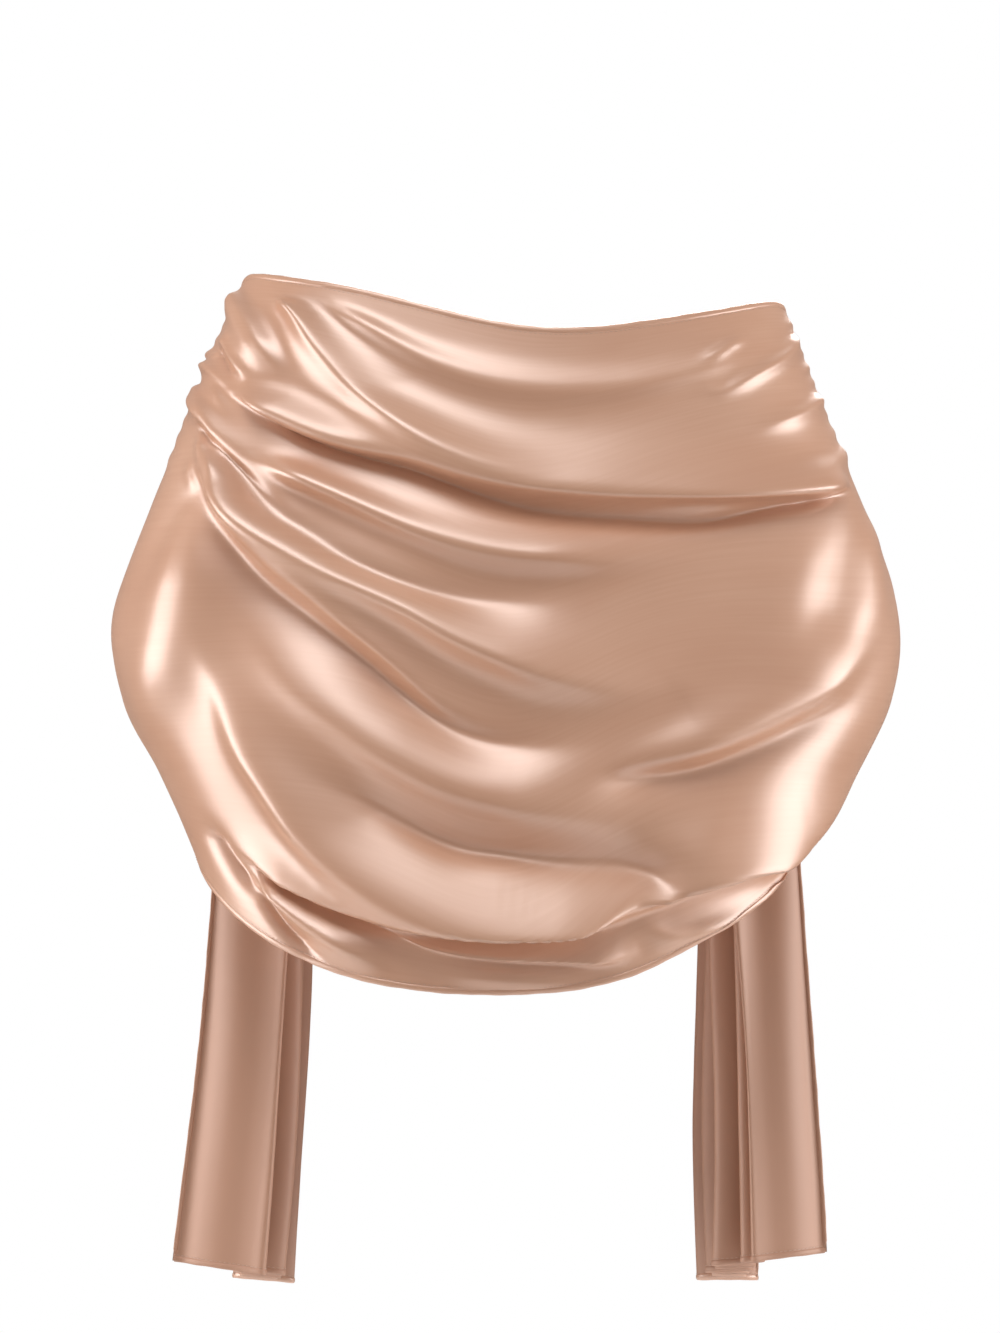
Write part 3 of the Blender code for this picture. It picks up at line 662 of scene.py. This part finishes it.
def lay_stretch(stretch, cloth_settings, materials):
    """One stretch of the cloth: its surface moved half a thickness out and in, joined
    round the border."""
    cloth = whole_cloth()
    first = int(np.searchsorted(cloth.along, stretch.start - 1e-6))
    last = first + stretch.columns + 1
    middle = cloth.surface[first:last]
    outward = cloth.outward[first:last]
    columns, rows = middle.shape[:2]
    count = columns * rows
    half = cloth_settings.thickness / MM / 2
    points = np.concatenate([(middle + outward * half).reshape(-1, 3),
                             (middle - outward * half).reshape(-1, 3)])
    normals = np.concatenate([outward.reshape(-1, 3), -outward.reshape(-1, 3)])
    outer = grid_quads(columns, rows)
    inner = grid_quads(columns, rows, count)[:, ::-1]
    rim = rim_quads(columns, rows)
    faces = np.concatenate([outer, inner, rim])
    choice = np.repeat([0, 1, 0], [len(outer), len(inner), len(rim)])
    a, b = np.meshgrid(cloth.along[first:last], cloth.down, indexing="ij")
    places = np.tile(np.stack([a.ravel() + HALF_LENGTH, b.ravel()], -1), (2, 1))
    piece = put_mesh(stretch.piece, points, faces, materials, choice, normals, places)
    check_place(piece, stretch.node)
    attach(piece, BODY)
    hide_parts(stretch.node)
    return piece


def edge_line(edge):
    """One edge of the cloth: its points, and there the directions along it, into the
    cloth and out of its outer face."""
    cloth = whole_cloth()
    if edge in ("upper", "lower"):
        row = 0 if edge == "upper" else -1
        points, into, outward = (layer[:, row] for layer in (cloth.surface, cloth.across, cloth.outward))
        into = into if edge == "upper" else -into
    else:
        column = 0 if edge == "left_end" else -1
        points, into, outward = (layer[column] for layer in (cloth.surface, cloth.ahead, cloth.outward))
        into = into if edge == "left_end" else -into
    course = np.gradient(points, axis=0)
    course /= np.linalg.norm(course, axis=1, keepdims=True)
    into = into - course * (into * course).sum(axis=1, keepdims=True)
    into /= np.linalg.norm(into, axis=1, keepdims=True)
    return points, course, into, outward


def roll_hem(edge, cloth_settings, material):
    """A rolled hem: an oval profile carried along one edge, a little uneven in width,
    with its ends drawn together to points."""
    points, course, into, outward = edge_line(edge)
    reach = np.concatenate([[0], np.cumsum(np.linalg.norm(np.diff(points, axis=0), axis=1))])
    uneven = 1 + 0.06 * np.sin(reach / 7.3) + 0.05 * np.sin(reach / 3.1 + 1)
    half_width = cloth_settings.hem_width / MM / 2
    half_depth = cloth_settings.hem_depth / MM / 2
    turn = np.linspace(0, 2 * np.pi, 12, endpoint=False)
    ends = np.ones(len(points))
    ends[[0, -1]] = 0.02
    wide = (half_width * uneven * ends)[:, None, None] * np.cos(turn)[None, :, None]
    deep = (half_depth * uneven * ends)[:, None, None] * np.sin(turn)[None, :, None]
    middle = points + into * (half_width - 0.6)
    ring = middle[:, None] + into[:, None] * wide + outward[:, None] * deep
    columns, around = ring.shape[:2]
    index = np.arange(columns * around).reshape(columns, around)
    a, b = index[:-1], index[1:]
    faces = np.stack([a, np.roll(a, -1, axis=1), np.roll(b, -1, axis=1), b], -1).reshape(-1, 4)
    half = around // 2
    quads = np.arange(half - 1)
    start_cap = np.stack([quads, around - 1 - quads, around - 2 - quads, quads + 1], -1)
    end_cap = start_cap[:, ::-1] + (columns - 1) * around
    faces = np.concatenate([faces, start_cap, end_cap])
    handed = np.einsum("ij,ij->i", np.cross(course, into), outward).mean()
    if handed > 0:
        faces = faces[:, ::-1]
    place = np.stack([np.repeat(reach, around), np.tile(np.degrees(turn) / 20, columns)], -1)
    piece = put_mesh(f"hem_{edge}", ring.reshape(-1, 3), faces, [material], uv=place)
    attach(piece, BODY)
    return piece


def sew_edge(edge, cloth_settings, material):
    """Running stitches inside a hem, on both faces: a small spindle of thread at even
    steps along the hem's inner line."""
    points, course, into, outward = edge_line(edge)
    reach = np.concatenate([[0], np.cumsum(np.linalg.norm(np.diff(points, axis=0), axis=1))])
    length = cloth_settings.stitch_length / MM
    step = length + cloth_settings.stitch_gap / MM
    at = np.arange(4, reach[-1] - 4, step)
    place, ahead, inward, out = (np.stack([np.interp(at, reach, layer[:, k]) for k in range(3)], -1)
                                 for layer in (points, course, into, outward))
    line = place + inward * (cloth_settings.hem_width / MM + 0.1)
    thread = cloth_settings.thread / MM
    turn = np.linspace(0, 2 * np.pi, 6, endpoint=False)
    shares = np.array([-0.5, -0.3, 0.3, 0.5])
    girths = np.array([0.25, 1, 1, 0.25]) * thread / 2
    stitches = []
    for face in (1, -1):
        height = face * (cloth_settings.thickness / MM / 2 + thread * 0.2)
        centre = line + out * height
        ring = (centre[:, None, None] + ahead[:, None, None] * (shares * length)[None, :, None, None]
                + inward[:, None, None] * (girths[:, None] * np.cos(turn))[None, :, :, None]
                + face * out[:, None, None] * (girths[:, None] * np.sin(turn))[None, :, :, None])
        stitches.append(ring)
    rings = np.concatenate(stitches)
    count, along, around = rings.shape[:3]
    index = np.arange(along * around).reshape(along, around)
    a, b = index[:-1], index[1:]
    faces = np.stack([a, np.roll(a, -1, axis=1), np.roll(b, -1, axis=1), b], -1).reshape(-1, 4)
    last = (along - 1) * around
    caps = np.array([[3, 2, 1, 0], [5, 4, 3, 0], [last, last + 1, last + 2, last + 3],
                     [last, last + 3, last + 4, last + 5]])
    template = np.concatenate([faces, caps])
    whole = (template[None] + (np.arange(count) * along * around)[:, None, None]).reshape(-1, 4)
    piece = put_mesh(f"stitches_{edge}", rings.reshape(-1, 3), whole, [material])
    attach(piece, BODY)
    return piece


def shader_group(name, inputs, output):
    """An empty shader node group: its inputs as (name, kind, default) and one output."""
    group = bpy.data.node_groups.new(name, "ShaderNodeTree")
    for label, kind, default in inputs:
        socket = group.interface.new_socket(label, in_out="INPUT", socket_type=kind)
        if default is not None:
            socket.default_value = default
    group.interface.new_socket(output, in_out="OUTPUT", socket_type="NodeSocketFloat")
    return group, group.nodes.new("NodeGroupInput"), group.nodes.new("NodeGroupOutput")


def add_node(tree, kind, **values):
    """A node with its named inputs set, or joined where the value is a socket."""
    node = tree.nodes.new(kind)
    for label, value in values.items():
        socket = node.inputs[int(label[1:])] if label[0] == "_" else node.inputs[label.replace("_", " ")]
        if isinstance(value, bpy.types.NodeSocket):
            tree.links.new(value, socket)
        else:
            socket.default_value = value
    return node


def streak_group():
    """Long soft streaks that run along the cloth: noise drawn out in one direction."""
    group, given, result = shader_group("satin_streaks", [
        ("Vector", "NodeSocketVector", None),
        ("Length", "NodeSocketFloat", 0.06),
        ("Width", "NodeSocketFloat", 0.004),
    ], "Streak")
    split = add_node(group, "ShaderNodeSeparateXYZ", Vector=given.outputs["Vector"])
    long_way = add_node(group, "ShaderNodeMath", _0=split.outputs["X"], _1=given.outputs["Length"])
    long_way.operation = "DIVIDE"
    short_way = add_node(group, "ShaderNodeMath", _0=split.outputs["Y"], _1=given.outputs["Width"])
    short_way.operation = "DIVIDE"
    drawn = add_node(group, "ShaderNodeCombineXYZ", X=long_way.outputs[0], Y=short_way.outputs[0])
    noise = add_node(group, "ShaderNodeTexNoise", Vector=drawn.outputs[0], Scale=1.0, Detail=3.0)
    group.links.new(noise.outputs["Fac"], result.inputs[0])
    return group


def weave_group():
    """Satin weave: long floats side by side, each thread a rounded ridge."""
    group, given, result = shader_group("satin_weave", [
        ("Vector", "NodeSocketVector", None),
        ("Thread", "NodeSocketFloat", 0.0003),
    ], "Height")
    split = add_node(group, "ShaderNodeSeparateXYZ", Vector=given.outputs["Vector"])
    rows = add_node(group, "ShaderNodeMath", _0=split.outputs["Y"], _1=given.outputs["Thread"])
    rows.operation = "DIVIDE"
    turned = add_node(group, "ShaderNodeMath", _0=rows.outputs[0], _1=np.pi)
    turned.operation = "MULTIPLY"
    ridge = add_node(group, "ShaderNodeMath", _0=turned.outputs[0])
    ridge.operation = "SINE"
    rounded = add_node(group, "ShaderNodeMath", _0=ridge.outputs[0])
    rounded.operation = "ABSOLUTE"
    group.links.new(rounded.outputs[0], result.inputs[0])
    return group


def tail_shade_and_matt_group():
    """Rises from 0 to 1 where the cloth runs from a loop into its tail: the distance along
    the cloth from its middle, eased between two places. It blends in the tails' painted
    shade and their matt finish."""
    group, given, result = shader_group("satin_tail_shade_and_matt", [
        ("Vector", "NodeSocketVector", None),
        ("Starts", "NodeSocketFloat", 0.50),
        ("Full", "NodeSocketFloat", 0.68),
    ], "Fade")
    split = add_node(group, "ShaderNodeSeparateXYZ", Vector=given.outputs["Vector"])
    middle = add_node(group, "ShaderNodeMath", _0=split.outputs["X"], _1=HALF_LENGTH * MM)
    middle.operation = "SUBTRACT"
    away = add_node(group, "ShaderNodeMath", _0=middle.outputs[0])
    away.operation = "ABSOLUTE"
    fade = add_node(group, "ShaderNodeMapRange", Value=away.outputs[0], From_Min=given.outputs["Starts"],
                    From_Max=given.outputs["Full"])
    fade.interpolation_type = "SMOOTHSTEP"
    group.links.new(fade.outputs[0], result.inputs[0])
    return group


def satin(name, colour, deep_colour, roughness, metallic, coat, groups):
    """Satin: a warm colour that deepens in streaks and soft patches, gloss that varies
    with them, fine weave and shallow creases from wear. Towards each tail the colour
    darkens as painted shade and the gloss turns matt."""
    material = bpy.data.materials.new(name)
    material.use_nodes = True
    tree = material.node_tree
    shader = tree.nodes["Principled BSDF"]
    cloth_place = add_node(tree, "ShaderNodeUVMap")
    cloth_place.uv_map = UV_NAME
    vector = cloth_place.outputs["UV"]
    streaks = add_node(tree, "ShaderNodeGroup")
    streaks.node_tree = groups["streaks"]
    tree.links.new(vector, streaks.inputs["Vector"])
    patches = add_node(tree, "ShaderNodeTexNoise", Vector=vector, Scale=9.0, Detail=2.0)
    blend = add_node(tree, "ShaderNodeMath", _0=streaks.outputs[0], _1=patches.outputs["Fac"])
    blend.operation = "MULTIPLY"
    tone = add_node(tree, "ShaderNodeMapRange", Value=blend.outputs[0], From_Min=0.12, From_Max=0.42)
    mixed = add_node(tree, "ShaderNodeMix", Factor=tone.outputs[0])
    mixed.data_type = "RGBA"
    mixed.inputs[6].default_value = (*deep_colour, 1)
    mixed.inputs[7].default_value = (*colour, 1)
    # Painted shade: towards each tail the colour is mixed down to the tail tone of the deeper colour.
    tail = add_node(tree, "ShaderNodeGroup")
    tail.node_tree = groups["tail"]
    tree.links.new(vector, tail.inputs["Vector"])
    tail_shade_mix = add_node(tree, "ShaderNodeMix", Factor=tail.outputs[0])
    tail_shade_mix.data_type = "RGBA"
    tree.links.new(mixed.outputs[2], tail_shade_mix.inputs[6])
    tail_shade_mix.inputs[7].default_value = (*(tone * c for tone, c in zip(TAIL_SHADE_TONE, deep_colour)), 1)
    tree.links.new(tail_shade_mix.outputs[2], shader.inputs["Base Color"])
    varied = add_node(tree, "ShaderNodeMapRange", Value=patches.outputs["Fac"], From_Min=0.3, From_Max=0.7,
                      To_Min=roughness - 0.015, To_Max=roughness + 0.015)
    gloss = add_node(tree, "ShaderNodeMapRange", Value=tail.outputs[0], To_Min=varied.outputs[0], To_Max=0.60)
    tree.links.new(gloss.outputs[0], shader.inputs["Roughness"])
    shader.inputs["Metallic"].default_value = metallic
    shader.inputs["IOR"].default_value = 2.1
    gloss_coat = add_node(tree, "ShaderNodeMapRange", Value=tail.outputs[0], To_Min=coat, To_Max=0.0)
    tree.links.new(gloss_coat.outputs[0], shader.inputs["Coat Weight"])
    shader.inputs["Coat Roughness"].default_value = 0.30
    weave = add_node(tree, "ShaderNodeGroup")
    weave.node_tree = groups["weave"]
    tree.links.new(vector, weave.inputs["Vector"])
    creases = add_node(tree, "ShaderNodeTexNoise", Vector=vector, Scale=20.0, Detail=1.5)
    soft = add_node(tree, "ShaderNodeBump", Height=creases.outputs["Fac"], Strength=0.12, Distance=0.0010)
    fine = add_node(tree, "ShaderNodeBump", Height=weave.outputs[0], Strength=0.12, Distance=0.00005,
                    Normal=soft.outputs[0])
    tree.links.new(fine.outputs[0], shader.inputs["Normal"])
    return material


def thread_material(colour):
    """Sewing thread: a fine twist on Object coordinates over one colour."""
    material = bpy.data.materials.new("sewing_thread")
    material.use_nodes = True
    tree = material.node_tree
    shader = tree.nodes["Principled BSDF"]
    place = add_node(tree, "ShaderNodeTexCoord")
    twist = add_node(tree, "ShaderNodeTexNoise", Vector=place.outputs["Object"], Scale=2400.0)
    tone = add_node(tree, "ShaderNodeMix", Factor=twist.outputs["Fac"])
    tone.data_type = "RGBA"
    tone.inputs[6].default_value = (*(0.8 * c for c in colour), 1)
    tone.inputs[7].default_value = (*colour, 1)
    tree.links.new(tone.outputs[2], shader.inputs["Base Color"])
    bump = add_node(tree, "ShaderNodeBump", Height=twist.outputs["Fac"], Strength=0.4, Distance=0.0001)
    tree.links.new(bump.outputs[0], shader.inputs["Normal"])
    shader.inputs["Roughness"].default_value = 0.45
    return material


@lru_cache(maxsize=1)
def finishes():
    """The satin's face, its matt reverse, the hem's face and the thread, made once."""
    colours = bpy.context.scene.stole_finish
    groups = {"streaks": streak_group(), "weave": weave_group(), "tail": tail_shade_and_matt_group()}
    face = tuple(colours.face_colour)
    deep = tuple(colours.deep_colour)
    reverse = tuple(colours.reverse_colour)
    return {
        "face": satin("satin_face", face, deep, colours.face_roughness, colours.face_lustre,
                      0.30, groups),
        "reverse": satin("satin_reverse", reverse, deep, colours.reverse_roughness, 0.03,
                         0.0, groups),
        "thread": thread_material(tuple(colours.thread_colour)),
    }


class StoleCloth(bpy.types.PropertyGroup):
    """Sizes of the cloth, its hems and its stitches."""

    thickness: bpy.props.FloatProperty(
        name="Thickness", description="Thickness of the satin shell", default=0.0007,
        min=0.0002, precision=4, unit="LENGTH")
    hem_width: bpy.props.FloatProperty(
        name="Hem width", description="Width of the rolled hem", default=0.0045,
        precision=4, unit="LENGTH")
    hem_depth: bpy.props.FloatProperty(
        name="Hem depth", description="Thickness of the rolled hem", default=0.0019,
        precision=4, unit="LENGTH")
    stitch_length: bpy.props.FloatProperty(
        name="Stitch length", description="Length of one stitch that shows", default=0.0024,
        precision=4, unit="LENGTH")
    stitch_gap: bpy.props.FloatProperty(
        name="Stitch gap", description="Gap from one stitch to the next", default=0.0012,
        precision=4, unit="LENGTH")
    thread: bpy.props.FloatProperty(
        name="Thread", description="Diameter of the sewing thread", default=0.0004,
        precision=5, unit="LENGTH")


class StoleFinish(bpy.types.PropertyGroup):
    """Colours and gloss of the satin and its thread."""

    face_colour: bpy.props.FloatVectorProperty(
        name="Face", description="The satin's shiny face", subtype="COLOR", size=3,
        default=(0.62, 0.340, 0.217))
    deep_colour: bpy.props.FloatVectorProperty(
        name="Face, deep", description="The face where its colour deepens", subtype="COLOR", size=3,
        default=(0.58, 0.298, 0.182))
    reverse_colour: bpy.props.FloatVectorProperty(
        name="Reverse", description="The satin's matt reverse", subtype="COLOR", size=3,
        default=(0.56, 0.335, 0.225))
    thread_colour: bpy.props.FloatVectorProperty(
        name="Thread", description="The sewing thread", subtype="COLOR", size=3,
        default=(0.60, 0.40, 0.30))
    face_roughness: bpy.props.FloatProperty(
        name="Face roughness", description="Roughness of the shiny face", default=0.38,
        min=0, max=1, subtype="FACTOR")
    reverse_roughness: bpy.props.FloatProperty(
        name="Reverse roughness", description="Roughness of the matt reverse", default=0.55,
        min=0, max=1, subtype="FACTOR")
    face_lustre: bpy.props.FloatProperty(
        name="Lustre", description="How much the face shines in its own colour", default=0.08,
        min=0, max=1, subtype="FACTOR")


class StoleStage(bpy.types.PropertyGroup):
    """The floor, the lights and the camera."""

    floor_drop: bpy.props.FloatProperty(
        name="Floor", description="Height of the floor below the origin", default=1.05,
        unit="LENGTH")
    floor_radius: bpy.props.FloatProperty(
        name="Floor radius", description="Radius of the round floor", default=1.6, unit="LENGTH")
    key_power: bpy.props.FloatProperty(
        name="Overhead light", description="Power of the large light above the back", default=37,
        unit="POWER")
    fill_power: bpy.props.FloatProperty(
        name="Side lights", description="Power of the light at each side", default=40,
        unit="POWER")
    top_power: bpy.props.FloatProperty(
        name="Front light", description="Power of the light on the front", default=84, unit="POWER")


def dress(context, *nodes):
    """Lays the stretches of cloth that stand for these nodes."""
    cloth_settings = context.scene.stole_cloth
    materials = [finishes()["face"], finishes()["reverse"]]
    for stretch in STRETCHES:
        if stretch.node in nodes:
            lay_stretch(stretch, cloth_settings, materials)
    return {"FINISHED"}


class STOLE_OT_back(bpy.types.Operator):
    """Lays the satin low round the back in its swags"""

    bl_idname = "stole.back"
    bl_label = "Back"

    def execute(self, context):
        return dress(context, "back")


class STOLE_OT_sides(bpy.types.Operator):
    """Lays the satin round the two outer sides, where it is drawn into wrinkles"""

    bl_idname = "stole.sides"
    bl_label = "Sides"

    def execute(self, context):
        return dress(context, "left_side", "right_side")


class STOLE_OT_loops(bpy.types.Operator):
    """Gathers the satin over the two crooks that carry it"""

    bl_idname = "stole.loops"
    bl_label = "Loops"

    def execute(self, context):
        return dress(context, "left_loop", "right_loop")


class STOLE_OT_tails(bpy.types.Operator):
    """Hangs the two pleated tails"""

    bl_idname = "stole.tails"
    bl_label = "Tails"

    def execute(self, context):
        return dress(context, "left_tail", "right_tail")


EDGES = ["upper", "lower", "left_end", "right_end"]


class STOLE_OT_hems(bpy.types.Operator):
    """Rolls a narrow hem along each of the four edges and sews it"""

    bl_idname = "stole.hems"
    bl_label = "Hems"

    def execute(self, context):
        cloth_settings = context.scene.stole_cloth
        for edge in EDGES:
            roll_hem(edge, cloth_settings, finishes()["face"])
            sew_edge(edge, cloth_settings, finishes()["thread"])
        return {"FINISHED"}


class STOLE_OT_declare(bpy.types.Operator):
    """Does nothing; it states nothing about the stretches of cloth"""

    bl_idname = "stole.declare"
    bl_label = "Declare the cloth"

    def execute(self, context):
        return {"FINISHED"}


def add_light(name, place, aim, size, power):
    """A square soft light at a place, turned towards a point."""
    data = bpy.data.lights.new(name, "AREA")
    data.energy = power
    data.size = size
    lamp = bpy.data.objects.new(name, data)
    lamp.location = place
    lamp.rotation_euler = (Vector(aim) - Vector(place)).to_track_quat("-Z", "Y").to_euler()
    bpy.context.scene.collection.objects.link(lamp)


def light_world():
    """White behind the stole for the camera, and a dimmer even light for everything else."""
    world = bpy.data.worlds.new("studio")
    bpy.context.scene.world = world
    world.use_nodes = True
    tree = world.node_tree
    tree.nodes.clear()
    seen = add_node(tree, "ShaderNodeBackground", Color=(1, 1, 1, 1), Strength=1.0)
    place = add_node(tree, "ShaderNodeTexCoord")
    height = add_node(tree, "ShaderNodeSeparateXYZ", Vector=place.outputs["Generated"])
    strength = add_node(tree, "ShaderNodeMapRange", Value=height.outputs["Z"], From_Min=-0.6, From_Max=0.6,
                        To_Min=0.06, To_Max=0.34)
    light = add_node(tree, "ShaderNodeBackground", Color=(1, 1, 1, 1), Strength=strength.outputs[0])
    path = add_node(tree, "ShaderNodeLightPath")
    either = add_node(tree, "ShaderNodeMixShader", _0=path.outputs["Is Camera Ray"],
                      _1=light.outputs[0], _2=seen.outputs[0])
    add_node(tree, "ShaderNodeOutputWorld", Surface=either.outputs[0])


class STOLE_OT_stage(bpy.types.Operator):
    """Sets the pale floor, the soft lights and the camera"""

    bl_idname = "stole.stage"
    bl_label = "Stage"

    def execute(self, context):
        stage = context.scene.stole_stage
        turn = np.linspace(0, 2 * np.pi, 96, endpoint=False)
        rim = np.stack([np.cos(turn), np.sin(turn), np.zeros_like(turn)], -1) * stage.floor_radius
        mesh = bpy.data.meshes.new("floor")
        mesh.from_pydata([(x, y, -stage.floor_drop) for x, y, _ in rim.tolist()], [], [list(range(len(rim)))])
        floor = bpy.data.objects.new("floor", mesh)
        context.scene.collection.objects.link(floor)
        paper = bpy.data.materials.new("floor_paper")
        paper.use_nodes = True
        paper.node_tree.nodes["Principled BSDF"].inputs["Base Color"].default_value = (0.72, 0.72, 0.72, 1)
        paper.node_tree.nodes["Principled BSDF"].inputs["Roughness"].default_value = 0.8
        mesh.materials.append(paper)
        light_world()
        add_light("over", (-0.35, -1.45, 2.25), (0, -0.1, -0.1), 1.3, stage.key_power)
        add_light("left", (-2.2, -0.5, -0.1), (-0.2, -0.1, -0.1), 1.5, stage.fill_power)
        add_light("right", (2.2, -0.5, -0.1), (0.2, -0.1, -0.1), 1.5, stage.fill_power)
        add_light("front", (0.5, 2.2, 1.6), (0, 0.1, -0.1), 1.4, stage.top_power)
        context.scene.view_settings.view_transform = "Standard"
        camera = bpy.data.objects.new("camera", bpy.data.cameras.new("camera"))
        camera.location = (-0.0075, -2.6, -0.020)
        camera.rotation_euler = (np.pi / 2, 0, 0)
        camera.data.sensor_fit = "VERTICAL"
        camera.data.sensor_height = 36
        camera.data.lens = 36 * 2600 / (1333 * 0.75)
        context.scene.collection.objects.link(camera)
        context.scene.camera = camera
        return {"FINISHED"}


PIECE_OPERATORS = [STOLE_OT_back, STOLE_OT_sides, STOLE_OT_loops, STOLE_OT_tails, STOLE_OT_hems,
                   STOLE_OT_declare, STOLE_OT_stage]
SETTINGS = {"stole_cloth": StoleCloth, "stole_finish": StoleFinish, "stole_stage": StoleStage}


class VIEW3D_PT_stole(bpy.types.Panel):
    """Lists the stole's pieces and their settings"""

    bl_label = "Evening Stole"
    bl_space_type = "VIEW_3D"
    bl_region_type = "UI"
    bl_category = "Stole"

    def draw(self, context):
        for operator in PIECE_OPERATORS:
            self.layout.operator(operator.bl_idname)
        for setting in SETTINGS:
            group = getattr(context.scene, setting)
            box = self.layout.box()
            for label in group.__annotations__:
                box.prop(group, label)


def register():
    for kind in [*SETTINGS.values(), *PIECE_OPERATORS, VIEW3D_PT_stole]:
        bpy.utils.register_class(kind)
    for name, kind in SETTINGS.items():
        setattr(bpy.types.Scene, name, bpy.props.PointerProperty(type=kind))


def unregister():
    for name in SETTINGS:
        delattr(bpy.types.Scene, name)
    for kind in reversed([*SETTINGS.values(), *PIECE_OPERATORS, VIEW3D_PT_stole]):
        bpy.utils.unregister_class(kind)


def main():
    register()
    bpy.ops.stole.back()
    bpy.ops.stole.sides()
    bpy.ops.stole.loops()
    bpy.ops.stole.tails()
    bpy.ops.stole.hems()
    bpy.ops.stole.declare()
    bpy.ops.stole.stage()


if __name__ == "__main__":
    main()
